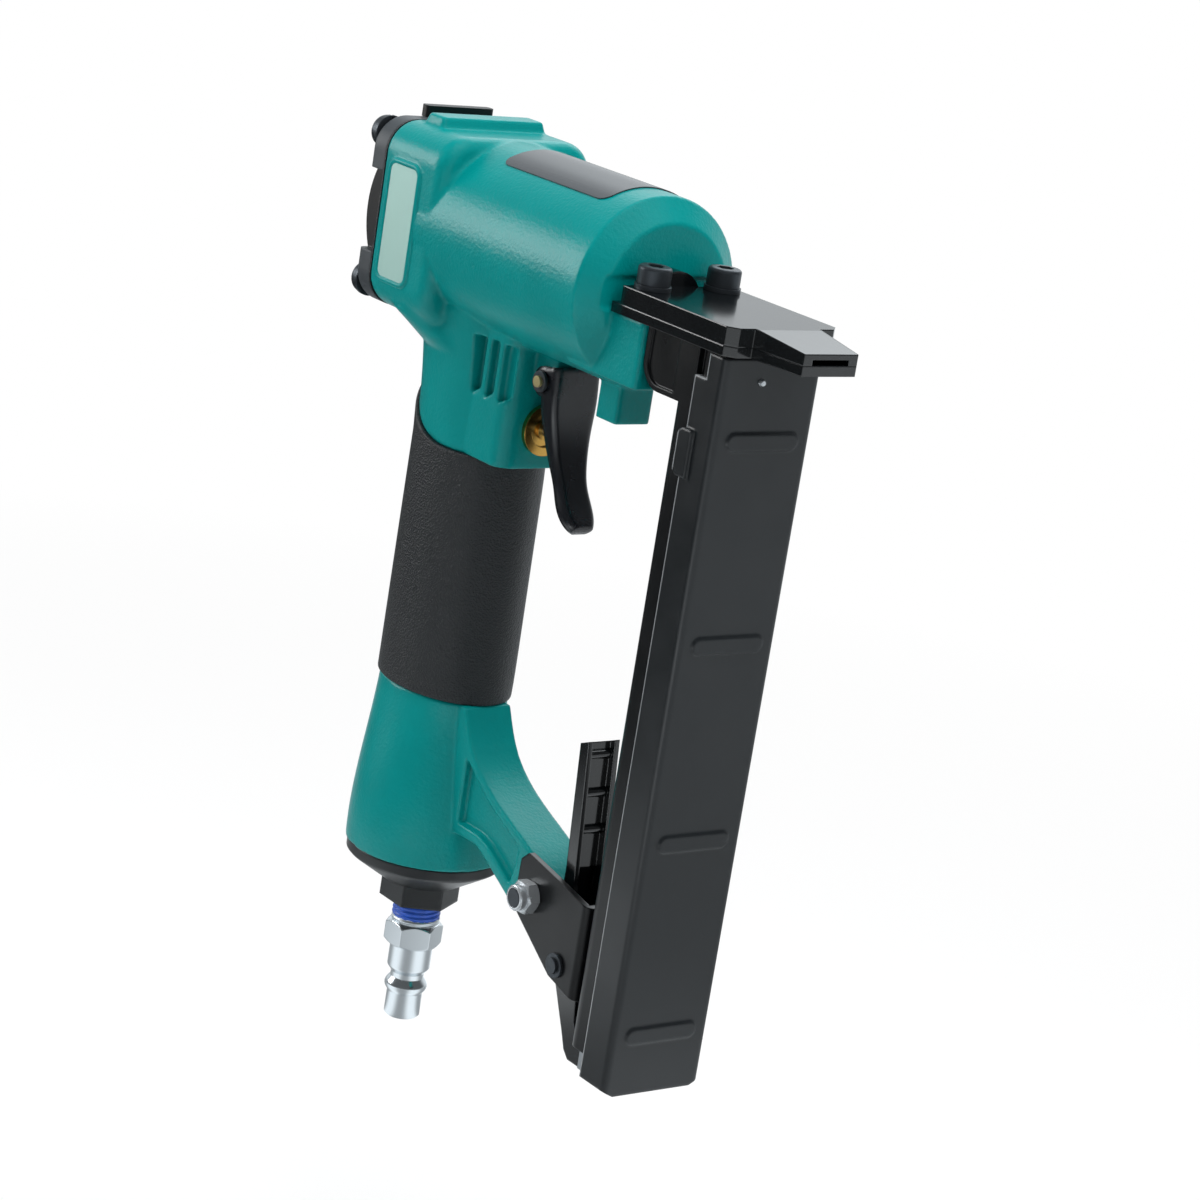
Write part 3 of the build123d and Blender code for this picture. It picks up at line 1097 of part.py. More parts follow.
PUSHER_BACK = CHANNEL_BACK + SLIDE_GAP
with BuildPart() as pusher:
    # Saddle over the inner rail, then the neck through its slot and the block on the rod
    with BuildSketch(Plane.XY.offset(PUSHER_BOTTOM)):
        with Locations((PUSHER_BACK, 0)):
            Rectangle(RAIL_FRONT - PUSHER_BACK - 2, 2 * (CHANNEL_HALF - SLIDE_GAP), align=FROM_BACK)
        with Locations((PUSHER_BACK + PUSHER_SHEET, 0)):
            Rectangle(
                RAIL_FRONT - PUSHER_BACK, 2 * (CORE_HALF + SLIDE_GAP), align=FROM_BACK, mode=Mode.SUBTRACT
            )
        with Locations((PUSHER_BACK, 0)):
            Rectangle(ROD_X - PUSHER_BACK, CORE_SLOT - 4 * SLIDE_GAP, align=FROM_BACK)
        with Locations((CORE_BACK + CORE_SHEET + 2 * SLIDE_GAP, 0)):
            Rectangle(
                ROD_X + 4 - CORE_BACK - CORE_SHEET, 2 * (CORE_HALF - CORE_SHEET - 2 * SLIDE_GAP),
                align=FROM_BACK,
            )
        with Locations((ROD_X, 0)):
            Circle(ROD_R + 2 * RUN_GAP, mode=Mode.SUBTRACT)
    extrude(amount=PUSHER_LENGTH)
pusher.part.label = "pusher"
export_step(pusher.part, "parts/pusher.step")

push_spring_start = (ROD_X, 0, TAIL_TOP + PUSH_SPRING_WIRE)
push_spring_path, push_spring_plane = coil_path(
    "pusher_spring", push_spring_start, (0, 0, 1), PUSH_SPRING_R,
    PUSHER_BOTTOM - TAIL_TOP - 2 * PUSH_SPRING_WIRE, PUSH_SPRING_TURNS, PUSH_SPRING_WIRE,
)
with BuildPart() as pusher_spring:
    with BuildLine():
        add(push_spring_path)
    with BuildSketch(push_spring_plane):
        Circle(PUSH_SPRING_WIRE / 2)
    sweep()
pusher_spring.part.label = "pusher_spring"
export_step(pusher_spring.part, "parts/pusher_spring.step")

# Rubber sleeve on the handle
sleeve_outer = oval_column([(z, x, a + SLEEVE_PROUD, b + SLEEVE_PROUD) for z, x, a, b in HANDLE_SECTIONS])
sleeve_inner = oval_column([
    (SLEEVE_BOTTOM - 3, HANDLE_X, HANDLE_IN_A + SEAT_GAP, HANDLE_IN_B + SEAT_GAP),
    (AXIS_Z, HANDLE_X, HANDLE_IN_A + SEAT_GAP, HANDLE_IN_B + SEAT_GAP),
])
sleeve_reach = below_sleeve_edge(SEAT_GAP)
with BuildPart() as grip_sleeve:
    add(sleeve_outer)
    add(sleeve_reach, mode=Mode.INTERSECT)
    add(sleeve_inner, mode=Mode.SUBTRACT)
grip_sleeve.part.label = "grip_sleeve"
export_step(grip_sleeve.part, "parts/grip_sleeve.step")

# End cap: hexagon, cone, rim and a spigot with a seal in the handle
SEAL_Z = FLARE_BOTTOM + SPIGOT_LENGTH / 2
SEAL_ROOM = SEAL_SECTION / 2 + SEAT_GAP
with BuildPart() as end_cap:
    with BuildSketch(Plane.XY.offset(CAP_HEX_BOTTOM)):
        RegularPolygon(CAP_HEX / 2 * HEX, 6)
    extrude(amount=CAP_HEX_HEIGHT)
    with BuildSketch(Plane.XZ):
        with BuildLine():
            Polyline(
                (0, CAP_HEX_TOP),
                (CAP_CONE_R, CAP_HEX_TOP),
                (CAP_RING_R - 0.8, CAP_RING_BOTTOM),
                (CAP_RING_R, CAP_RING_BOTTOM + 0.8),
                (CAP_RING_R, FLARE_BOTTOM),
                (SPIGOT_R, FLARE_BOTTOM),
                (SPIGOT_R, SEAL_Z - SEAL_ROOM),
                (SPIGOT_R - SEAL_SECTION, SEAL_Z - SEAL_ROOM),
                (SPIGOT_R - SEAL_SECTION, SEAL_Z + SEAL_ROOM),
                (SPIGOT_R, SEAL_Z + SEAL_ROOM),
                (SPIGOT_R, FLARE_BOTTOM + SPIGOT_LENGTH),
                (0, FLARE_BOTTOM + SPIGOT_LENGTH),
                close=True,
            )
        make_face()
    revolve(axis=Axis.Z)
    with BuildSketch(Plane.XY.offset(CAP_HEX_BOTTOM)):
        Circle(THREAD_R + SEAT_GAP)
    extrude(amount=THREAD_IN_CAP + 0.5, mode=Mode.SUBTRACT)
    with BuildSketch(Plane.XY.offset(CAP_HEX_BOTTOM)):
        Circle(PLUG_BORE)
    extrude(amount=FLARE_BOTTOM + SPIGOT_LENGTH - CAP_HEX_BOTTOM, mode=Mode.SUBTRACT)
end_cap.part.label = "end_cap"
export_step(end_cap.part, "parts/end_cap.step")

with BuildPart() as end_cap_seal:
    with BuildSketch(Plane.XZ):
        with Locations((SPIGOT_R - SEAL_SECTION / 2, SEAL_Z)):
            Circle(SEAL_SECTION / 2 - SEAT_GAP)
    revolve(axis=Axis.Z)
end_cap_seal.part.label = "end_cap_seal"
export_step(end_cap_seal.part, "parts/end_cap_seal.step")

# Air plug and the sealant on its thread
PLUG_NECK_BOTTOM = PLUG_TIP_LENGTH + PLUG_BEAD_LENGTH
PLUG_BODY_BOTTOM = PLUG_NECK_BOTTOM + PLUG_NECK_LENGTH
with BuildPart() as air_plug:
    with BuildSketch(Plane.XZ):
        with BuildLine():
            Polyline(
                (PLUG_BORE / 2, 0),
                (PLUG_TIP_R, 0),
                (PLUG_TIP_R, PLUG_TIP_LENGTH),
                (PLUG_BEAD_R - 0.5, PLUG_TIP_LENGTH),
                (PLUG_BEAD_R, PLUG_TIP_LENGTH + 0.5),
                (PLUG_BEAD_R, PLUG_NECK_BOTTOM - 0.5),
                (PLUG_NECK_R, PLUG_NECK_BOTTOM),
                (PLUG_NECK_R, PLUG_BODY_BOTTOM),
                (PLUG_BODY_R, PLUG_BODY_BOTTOM + 0.6),
                (PLUG_BODY_R, PLUG_HEX_BOTTOM),
                (PLUG_HEX / 2, PLUG_HEX_BOTTOM),
                (PLUG_HEX / 2, PLUG_HEX_TOP),
                (THREAD_R, PLUG_HEX_TOP),
                (THREAD_R, CAP_HEX_BOTTOM + THREAD_IN_CAP),
                (PLUG_BORE / 2, CAP_HEX_BOTTOM + THREAD_IN_CAP),
                close=True,
            )
        make_face()
    revolve(axis=Axis.Z)
    with BuildSketch(Plane.XY.offset(PLUG_HEX_BOTTOM)):
        RegularPolygon(PLUG_HEX / 2 * HEX, 6)
        Circle(PLUG_HEX / 2 - 1, mode=Mode.SUBTRACT)
    extrude(amount=PLUG_HEX_LENGTH)
air_plug.part.label = "air_plug"
export_step(air_plug.part, "parts/air_plug.step")

with BuildPart() as thread_sealant:
    with BuildSketch(Plane.XY.offset(PLUG_HEX_TOP)):
        Circle(THREAD_R + SEALANT_THICK)
        Circle(THREAD_R + SEAT_GAP, mode=Mode.SUBTRACT)
    extrude(amount=CAP_HEX_BOTTOM - PLUG_HEX_TOP)
thread_sealant.part.label = "thread_sealant"
export_step(thread_sealant.part, "parts/thread_sealant.step")

# Trigger: a pressed channel, open towards the handle
trigger_front = from_point(PIVOT_X, PIVOT_Z, TRIGGER_FRONT)
trigger_rear = from_point(PIVOT_X, PIVOT_Z, TRIGGER_REAR)
trigger_side = from_point(0, PIVOT_Z, TRIGGER_SIDE)
trigger_far = [(-y, z) for y, z in reversed(trigger_side)]
pocket_front = [(x - TRIGGER_SHEET, z) for x, z in trigger_front]
pocket_side = [(y - TRIGGER_SHEET, z) for y, z in trigger_side[:TRIGGER_POCKET_ENDS]]
pocket_far = [(-y, z) for y, z in reversed(pocket_side)]
with BuildPart() as trigger_pocket:
    with BuildSketch(Plane.XZ):
        with BuildLine():
            Spline(*pocket_front)
            Polyline(
                pocket_front[-1],
                (VALVE_FACE, pocket_front[-1][1]),
                (VALVE_FACE, pocket_front[0][1] + TRIGGER_BOSS),
                (pocket_front[0][0], pocket_front[0][1] + TRIGGER_BOSS),
                pocket_front[0],
            )
        make_face()
    extrude(amount=TRIGGER_HALF, both=True)
    with BuildSketch(Plane.YZ):
        with BuildLine():
            Spline(*pocket_side)
            Line(pocket_side[-1], pocket_far[0])
            Spline(*pocket_far)
            Line(pocket_far[-1], pocket_side[0])
        make_face()
    extrude(amount=2 * BARREL_FRONT, mode=Mode.INTERSECT)

with BuildPart() as trigger:
    with BuildSketch(Plane.XZ.offset(-TRIGGER_HALF)):
        with BuildLine():
            Spline(*trigger_front)
            Line(trigger_front[-1], trigger_rear[0])
            Spline(*trigger_rear[:-1])
            Polyline(*trigger_rear[-2:], trigger_front[0])
        make_face()
        with Locations((PIVOT_X, PIVOT_Z)):
            Circle(TRIGGER_BOSS)
    extrude(amount=2 * TRIGGER_HALF)
    with BuildSketch(Plane.YZ):
        with BuildLine():
            Spline(*trigger_side, *trigger_far[1:])
            Line(trigger_far[-1], trigger_side[0])
        make_face()
    extrude(amount=2 * BARREL_FRONT, mode=Mode.INTERSECT)
    trigger_face = trigger.faces().filter_by(GeomType.EXTRUSION).sort_by(Axis.X)[-1]
    fillet(trigger_face.edges().sort_by(SortBy.LENGTH)[-2:], radius=TRIGGER_EDGE)
    add(trigger_pocket, mode=Mode.SUBTRACT)
    with BuildSketch(Plane.XZ):
        with Locations((PIVOT_X, PIVOT_Z)):
            Circle(PIVOT_R + RUN_GAP)
    extrude(amount=2 * TRIGGER_HALF, both=True, mode=Mode.SUBTRACT)
trigger.part.label = "trigger"
export_step(trigger.part, "parts/trigger.step")

TRIGGER_CLIP_Y = TRIGGER_HALF + FREE_GAP
with BuildPart() as trigger_pin:
    with BuildSketch(Plane.XZ):
        with Locations((PIVOT_X, PIVOT_Z)):
            Circle(PIVOT_R)
    extrude(amount=TRIGGER_CLIP_Y + CLIP_THICK + PIN_END, both=True)
trigger_pin.part.label = "trigger_pin"
export_step(trigger_pin.part, "parts/trigger_pin.step")

with BuildPart() as trigger_clips:
    for side in (1, -1):
        with BuildSketch(Plane.XZ.offset(side * TRIGGER_CLIP_Y)):
            with Locations((PIVOT_X, PIVOT_Z)):
                Circle(PIVOT_R + CLIP_RIM)
                Circle(PIVOT_R + SEAT_GAP, mode=Mode.SUBTRACT)
        extrude(amount=side * CLIP_THICK)
trigger_clips.part.label = "trigger_clips"
export_step(trigger_clips.part, "parts/trigger_clips.step")

# Trigger valve: brass bushing, stem and spring
BUSH_BACK = VALVE_FACE - VALVE_DEPTH
BUSH_FRONT = VALVE_FACE + BUSH_FLANGE
GUIDE_START = BUSH_FRONT - BUSH_GUIDE
COLLAR_FRONT = GUIDE_START - FREE_GAP
COLLAR_BACK = COLLAR_FRONT - STEM_COLLAR
STEM_END = PIVOT_X + TRIGGER_FRONT[1][0] - TRIGGER_SHEET
with BuildPart() as valve_bushing:
    with BuildSketch(Plane.YZ.offset(BUSH_BACK)):
        with Locations((0, VALVE_Z)):
            Circle(VALVE_R)
            Circle(BUSH_SPRING_R, mode=Mode.SUBTRACT)
    extrude(amount=GUIDE_START - BUSH_BACK)
    with BuildSketch(Plane.YZ.offset(GUIDE_START)):
        with Locations((0, VALVE_Z)):
            Circle(VALVE_R)
            Circle(STEM_R + RUN_GAP, mode=Mode.SUBTRACT)
    extrude(amount=VALVE_FACE - GUIDE_START)
    with BuildSketch(Plane.YZ.offset(VALVE_FACE)):
        with Locations((0, VALVE_Z)):
            Circle(BUSH_FLANGE_R)
            Circle(STEM_R + RUN_GAP, mode=Mode.SUBTRACT)
    extrude(amount=BUSH_FLANGE)
    with BuildSketch(Plane.YZ.offset(BUSH_FRONT - BUSH_DISH)):
        with Locations((0, VALVE_Z)):
            Circle(BUSH_DISH_R)
            Circle(STEM_R + 1.2, mode=Mode.SUBTRACT)
    extrude(amount=BUSH_DISH, mode=Mode.SUBTRACT)
valve_bushing.part.label = "valve_bushing"
export_step(valve_bushing.part, "parts/valve_bushing.step")

with BuildPart() as valve_stem:
    with BuildSketch(Plane.YZ.offset(COLLAR_BACK - STEM_TAIL)):
        with Locations((0, VALVE_Z)):
            Circle(STEM_R)
    extrude(amount=STEM_END - COLLAR_BACK + STEM_TAIL)
    with BuildSketch(Plane.YZ.offset(COLLAR_BACK)):
        with Locations((0, VALVE_Z)):
            Circle(STEM_COLLAR_R)
    extrude(amount=STEM_COLLAR)
valve_stem.part.label = "valve_stem"
export_step(valve_stem.part, "parts/valve_stem.step")

valve_spring_start = (BUSH_BACK + VALVE_SPRING_WIRE, 0, VALVE_Z)
valve_spring_path, valve_spring_plane = coil_path(
    "valve_spring", valve_spring_start, (1, 0, 0), VALVE_SPRING_R,
    COLLAR_BACK - BUSH_BACK - 2 * VALVE_SPRING_WIRE, VALVE_SPRING_TURNS, VALVE_SPRING_WIRE,
)
with BuildPart() as valve_spring:
    with BuildLine():
        add(valve_spring_path)
    with BuildSketch(valve_spring_plane):
        Circle(VALVE_SPRING_WIRE / 2)
    sweep()
valve_spring.part.label = "valve_spring"
export_step(valve_spring.part, "parts/valve_spring.step")

# Bracket between the arm and the rail: a folded sheet, open towards the handle
with BuildPart() as bracket:
    with BuildSketch(Plane.XZ):
        with BuildLine():
            Polyline(*from_point(BOLT_X, BOLT_Z, BRACKET_SIDE), close=True)
        make_face()
    extrude(amount=BRACKET_HALF, both=True)
    fillet(bracket.edges().filter_by(Axis.Z).group_by(Axis.X)[-1], radius=BRACKET_BEND)
    with BuildSketch(Plane.XZ):
        with Locations((BRACKET_FACE - BRACKET_SHEET, BOLT_Z)):
            Rectangle(4 * BOLT_X, 4 * BOLT_Z, align=(Align.MAX, Align.CENTER))
    extrude(amount=BRACKET_HALF - BRACKET_SHEET, both=True, mode=Mode.SUBTRACT)
    with BuildSketch(Plane.XZ):
        with Locations((BOLT_X, BOLT_Z)):
            Circle(SCREW_R + SEAT_GAP)
        with Locations((LATCH_PIN_X, LATCH_PIN_Z)):
            Circle(LATCH_PIN_R + SEAT_GAP)
    extrude(amount=2 * BRACKET_HALF, both=True, mode=Mode.SUBTRACT)
    with BuildSketch(Plane.YZ.offset(BRACKET_FACE - 2 * BRACKET_SHEET)):
        with Locations((0, RIVET_Z)):
            with GridLocations(1, RIVET_PITCH, 1, 2):
                Circle(RIVET_R + SEAT_GAP)
    extrude(amount=3 * BRACKET_SHEET, mode=Mode.SUBTRACT)
bracket.part.label = "bracket"
export_step(bracket.part, "parts/bracket.step")

with BuildPart() as bracket_rivets:
    with BuildSketch(Plane.YZ.offset(BRACKET_FACE - BRACKET_SHEET)):
        with Locations((0, RIVET_Z)):
            with GridLocations(1, RIVET_PITCH, 1, 2):
                Circle(RIVET_R)
    extrude(amount=BRACKET_SHEET + RAIL_WALL - SEAT_GAP)
    with BuildSketch(Plane.YZ.offset(BRACKET_FACE - BRACKET_SHEET)):
        with Locations((0, RIVET_Z)):
            with GridLocations(1, RIVET_PITCH, 1, 2):
                Circle(RIVET_HEAD_R)
    extrude(amount=-RIVET_HEAD, taper=20)
bracket_rivets.part.label = "bracket_rivets"
export_step(bracket_rivets.part, "parts/bracket_rivets.step")

BOLT_END = BRACKET_HALF + NUT_HEIGHT + NUT_COLLAR + BOLT_TAIL
with BuildPart() as bracket_bolt:
    with BuildSketch(Plane.XZ.offset(-BRACKET_HALF)):
        with Locations((BOLT_X, BOLT_Z)):
            Circle(SCREW_R)
    extrude(amount=BRACKET_HALF + BOLT_END)
    with BuildSketch(Plane.XZ.offset(-BRACKET_HALF)):
        with Locations((BOLT_X, BOLT_Z)):
            RegularPolygon(NUT_AF / 2 * HEX, 6)
    extrude(amount=-BOLT_HEAD)
bracket_bolt.part.label = "bracket_bolt"
export_step(bracket_bolt.part, "parts/bracket_bolt.step")

with BuildPart() as bracket_nut:
    with BuildSketch(Plane.XZ.offset(BRACKET_HALF)):
        with Locations((BOLT_X, BOLT_Z)):
            RegularPolygon(NUT_AF / 2 * HEX, 6)
    extrude(amount=NUT_HEIGHT)
    with BuildSketch(Plane.XZ.offset(BRACKET_HALF + NUT_HEIGHT)):
        with Locations((BOLT_X, BOLT_Z)):
            Circle(NUT_COLLAR_R)
    extrude(amount=NUT_COLLAR, taper=15)
    with BuildSketch(Plane.XZ.offset(BRACKET_HALF)):
        with Locations((BOLT_X, BOLT_Z)):
            Circle(SCREW_R + SEAT_GAP)
    extrude(amount=NUT_HEIGHT + NUT_COLLAR, mode=Mode.SUBTRACT)
bracket_nut.part.label = "bracket_nut"
export_step(bracket_nut.part, "parts/bracket_nut.step")

# Latch lever: a folded pan with a claw at its foot, on a pin through the bracket
latch_back = from_point(LATCH_PIN_X, LATCH_PIN_Z, LATCH_BACK)
latch_claw = from_point(LATCH_PIN_X, LATCH_PIN_Z, LATCH_CLAW)
latch_front = from_point(LATCH_PIN_X, LATCH_PIN_Z, LATCH_FRONT)
pan_back = [(x + LATCH_SHEET, z) for x, z in latch_back[:-1]]
pan_floor = latch_claw[0][1] + LATCH_SHEET
pan_lean = (latch_back[0][0] - latch_back[1][0]) / (latch_back[0][1] - latch_back[1][1])
with BuildPart() as latch_lever:
    with BuildSketch(Plane.XZ):
        with BuildLine():
            Polyline(*latch_back, *latch_claw, *latch_front, close=True)
        make_face()
    extrude(amount=LATCH_HALF, both=True)
    with BuildSketch(Plane.XZ):
        with BuildLine():
            Polyline(
                *pan_back,
                (latch_back[-1][0] + LATCH_SHEET, pan_floor),
                (latch_claw[0][0] + 2, pan_floor),
                (latch_claw[0][0] + 2, latch_back[0][1] + 4),
                (pan_back[0][0], latch_back[0][1] + 4),
                close=True,
            )
        make_face()
    extrude(amount=LATCH_HALF - LATCH_SHEET, both=True, mode=Mode.SUBTRACT)
    with BuildSketch(Plane.XZ):
        for height in LATCH_RIB_HEIGHTS:
            rib_z = LATCH_PIN_Z + height
            rib_x = latch_back[0][0] + pan_lean * (rib_z - latch_back[0][1]) + LATCH_SHEET
            with Locations((rib_x, rib_z)):
                Circle(LATCH_RIB)
    extrude(amount=LATCH_HALF - LATCH_SHEET, both=True)
    with BuildSketch(Plane.XZ):
        with Locations((LATCH_PIN_X, LATCH_PIN_Z)):
            Circle(LATCH_PIN_R + RUN_GAP)
    extrude(amount=2 * LATCH_HALF, both=True, mode=Mode.SUBTRACT)
latch_lever.part.label = "latch_lever"
export_step(latch_lever.part, "parts/latch_lever.step")

with BuildPart() as latch_pin:
    with BuildSketch(Plane.XZ):
        with Locations((LATCH_PIN_X, LATCH_PIN_Z)):
            Circle(LATCH_PIN_R)
    extrude(amount=BRACKET_HALF + CLIP_THICK + PIN_END, both=True)
latch_pin.part.label = "latch_pin"
export_step(latch_pin.part, "parts/latch_pin.step")

with BuildPart() as latch_clips:
    for side in (1, -1):
        with BuildSketch(Plane.XZ.offset(side * BRACKET_HALF)):
            with Locations((LATCH_PIN_X, LATCH_PIN_Z)):
                Circle(LATCH_PIN_R + CLIP_RIM)
                Circle(LATCH_PIN_R + SEAT_GAP, mode=Mode.SUBTRACT)
        extrude(amount=side * CLIP_THICK)
latch_clips.part.label = "latch_clips"
export_step(latch_clips.part, "parts/latch_clips.step")

latch_spring_start = (LATCH_PIN_X, -LATCH_SPRING_LENGTH / 2, LATCH_PIN_Z)
latch_spring_path, latch_spring_plane = coil_path(
    "latch_spring", latch_spring_start, (0, 1, 0), LATCH_SPRING_R,
    LATCH_SPRING_LENGTH, LATCH_SPRING_TURNS, LATCH_SPRING_WIRE,
)
with BuildPart() as latch_spring:
    with BuildLine():
        add(latch_spring_path)
    with BuildSketch(latch_spring_plane):
        Circle(LATCH_SPRING_WIRE / 2)
    sweep()
latch_spring.part.label = "latch_spring"
export_step(latch_spring.part, "parts/latch_spring.step")
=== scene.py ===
"""Pneumatic upholstery stapler: casting, grip, springs, trim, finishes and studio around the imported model."""
import math

import bmesh
import bpy
import numpy as np
from bpy.props import FloatProperty, FloatVectorProperty, IntProperty, PointerProperty
from mathutils import Matrix, Vector


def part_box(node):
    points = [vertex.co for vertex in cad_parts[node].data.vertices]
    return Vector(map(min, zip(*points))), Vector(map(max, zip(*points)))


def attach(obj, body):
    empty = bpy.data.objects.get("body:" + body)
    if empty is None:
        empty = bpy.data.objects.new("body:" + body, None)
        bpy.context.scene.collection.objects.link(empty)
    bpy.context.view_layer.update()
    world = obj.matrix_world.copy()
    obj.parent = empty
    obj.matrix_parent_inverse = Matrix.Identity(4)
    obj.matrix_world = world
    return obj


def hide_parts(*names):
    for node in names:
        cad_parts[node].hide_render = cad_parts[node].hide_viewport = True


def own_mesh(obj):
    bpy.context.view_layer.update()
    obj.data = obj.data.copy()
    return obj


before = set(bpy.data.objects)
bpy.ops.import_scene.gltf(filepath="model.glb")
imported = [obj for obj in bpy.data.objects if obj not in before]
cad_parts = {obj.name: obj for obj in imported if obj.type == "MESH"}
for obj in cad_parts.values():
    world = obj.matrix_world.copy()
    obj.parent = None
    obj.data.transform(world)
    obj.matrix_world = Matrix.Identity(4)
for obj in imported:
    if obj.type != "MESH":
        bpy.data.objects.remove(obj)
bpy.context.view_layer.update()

bl_info = {
    "name": "Upholstery stapler",
    "version": (1, 0, 0),
    "blender": (4, 5, 0),
    "location": "View3D > Sidebar > Stapler",
    "description": "Dresses the packed stapler with its cast body, grip, springs and finishes",
    "category": "Object",
}

MM = 0.001
TURN = 2 * math.pi

# Places repeated from the model's source, in millimetres
AXIS_Z = 221.8                          # barrel's axis
HEAD_FRONT, HEAD_SIDE = -3.4, -24.6
BARREL_LOW = 196.8
VALVE_Z = 176.4                         # axis of the trigger's valve
PIVOT_X, PIVOT_Z = 30.4, 191.0          # trigger's pin
BOLT_X, BOLT_Z = 62.0, 60.6             # bracket's bolt
LATCH_X, LATCH_Z = 76.6, 47.0           # latch's pin
HANDLE_X, HANDLE_DEEP = -3.2, 21.4      # handle's middle and half depth
SLEEVE_BOTTOM, SLEEVE_TOP, SLEEVE_RISE = 97.6, 165.6, 17.0
COVER_EDGE, NOTCH_Z, NOTCH_DEPTH = 100.5, 211.3, 4.4
TAB_Z, TAB_LENGTH, TAB_REACH = 192.0, 12.0, 1.8
CAP_MIDDLE = (("Y", 21.5), ("Z", 11.05))  # half width and half height of the cap's crowned middle
# Grip's outer ovals: height, middle x, half depth, half width
GRIP_OVALS = np.array([
    (97.6, -3.2, 22.3, 16.5),
    (165.6, -3.2, 21.9, 16.1),
    (182.8, -3.6, 22.9, 16.5),
    (202.8, -4.0, 26.3, 18.5),
])
# Edges of the finishes, in millimetres, and of turned pieces
HIGHLIGHT_WIDTH = 0.35                           # width of the painted highlight line along the cover's back edge
BROKEN_EDGE = 0.3                       # rounding of the edges of small metal pieces
CRISP = math.radians(28)                # turned edges sharper than this stay crisp


def linear(hex_colour):
    """sRGB hex value as linear red, green and blue."""
    parts = [int(hex_colour[i:i + 2], 16) / 255 for i in (1, 3, 5)]
    return [p / 12.92 if p <= 0.04045 else ((p + 0.055) / 1.055) ** 2.4 for p in parts]


def colour_prop(name, description, hex_colour):
    return FloatVectorProperty(
        name=name, description=description, subtype="COLOR", size=3, min=0, max=1,
        default=linear(hex_colour),
    )


def size_prop(name, description, millimetres):
    return FloatProperty(
        name=name, description=description, subtype="DISTANCE", unit="LENGTH", default=millimetres * MM
    )


class StaplerColours(bpy.types.PropertyGroup):
    """Colours a user would change."""

    enamel: colour_prop("Enamel", "Green enamel of the casting", "#008785")
    enamel_deep: colour_prop("Deep enamel", "Enamel where it lies thicker", "#007877")
    grip: colour_prop("Grip", "Rubber of the handle's sleeve", "#13171a")
    gloss_black: colour_prop("Gloss black", "Stove enamel of the nose plates and latch", "#0a0d0f")
    satin_black: colour_prop("Satin black", "Coating of the magazine cover and end cap", "#15191c")
    trigger_black: colour_prop("Trigger black", "Smooth coating of the trigger", "#14161b")
    deep_black: colour_prop("Deep black", "Oxide skin of the rail and bracket", "#0b0d0f")
    cap_grey: colour_prop("Cap grey", "Paint of the cylinder cap", "#3a3f43")
    black_oxide: colour_prop("Black oxide", "Finish of the socket screws", "#43484d")
    chrome: colour_prop("Chrome", "Plating of the air plug", "#dde3e7")
    zinc: colour_prop("Zinc", "Plating of nut and springs", "#c3c8cc")
    yellow_zinc: colour_prop("Yellow zinc", "Plating of the trigger's pin", "#c4b684")
    brass: colour_prop("Brass", "Turned valve bushing", "#c79d52")
    sealant: colour_prop("Sealant", "Cured sealant on the plug's thread", "#1d4fb4")
    plate: colour_prop("Plate", "Bare plate on the head", "#a9cdc5")
    label: colour_prop("Label", "Bare label on the barrel", "#3b3f43")
    floor: colour_prop("Floor", "Pale studio floor", "#f4f4f4")


class StaplerSizes(bpy.types.PropertyGroup):
    """Sizes a user would change."""

    casting_edge: size_prop("Casting edges", "Rounding of the casting's edges under its enamel", 0.6)
    casting_grain: size_prop("Casting grid", "Grid on which the casting's soft edges are worked out", 0.45)
    soften: IntProperty(
        name="Soft edges", description="Rounds of smoothing of the casting's edges", default=2, min=0, max=40
    )
    casting_faces: IntProperty(
        name="Casting faces", description="Triangles kept after the flat parts are thinned",
        default=170000, min=10000, max=195000,
    )
    grip_lip: size_prop("Grip lip", "Rounding of the sleeve's rims", 0.7)
    rim_width: size_prop("Plate rim", "Width of the raised rim around the head's plate", 1.3)
    rim_height: size_prop("Rim height", "Height of that rim over the head's side", 0.8)
    peel: size_prop("Orange peel", "Spacing of the dimples in the enamel", 0.9)
    rubber_grain: size_prop("Rubber grain", "Spacing of the grip's grain", 0.6)


def add_node(tree, kind, inputs=None, **settings):
    """Adds a node, sets its properties, and gives each named input a value or a link."""
    node = tree.nodes.new(kind)
    for key, value in settings.items():
        setattr(node, key, value)
    for key, value in (inputs or {}).items():
        if isinstance(value, bpy.types.NodeSocket):
            tree.links.new(value, node.inputs[key])
        else:
            node.inputs[key].default_value = value
    return node


def start_finish(name, colour, roughness, **sockets):
    """New material with one Principled shader; returns it with its tree, shader and Object coordinates."""
    material = bpy.data.materials.new(name)
    material.use_nodes = True
    tree = material.node_tree
    shader = tree.nodes["Principled BSDF"]
    shader.inputs["Base Color"].default_value = [*colour, 1.0]
    shader.inputs["Roughness"].default_value = roughness
    for key, value in sockets.items():
        shader.inputs[key.replace("_", " ")].default_value = value
    place = add_node(tree, "ShaderNodeTexCoord").outputs["Object"]
    return material, tree, shader, place


def scaled(colour, factor):
    return [c * factor for c in colour]


def mix_inputs(fac, a, b):
    """Inputs of a colour Mix node by index, because its sockets share names between data types."""
    return {0: fac, 6: [*a, 1.0], 7: [*b, 1.0]}


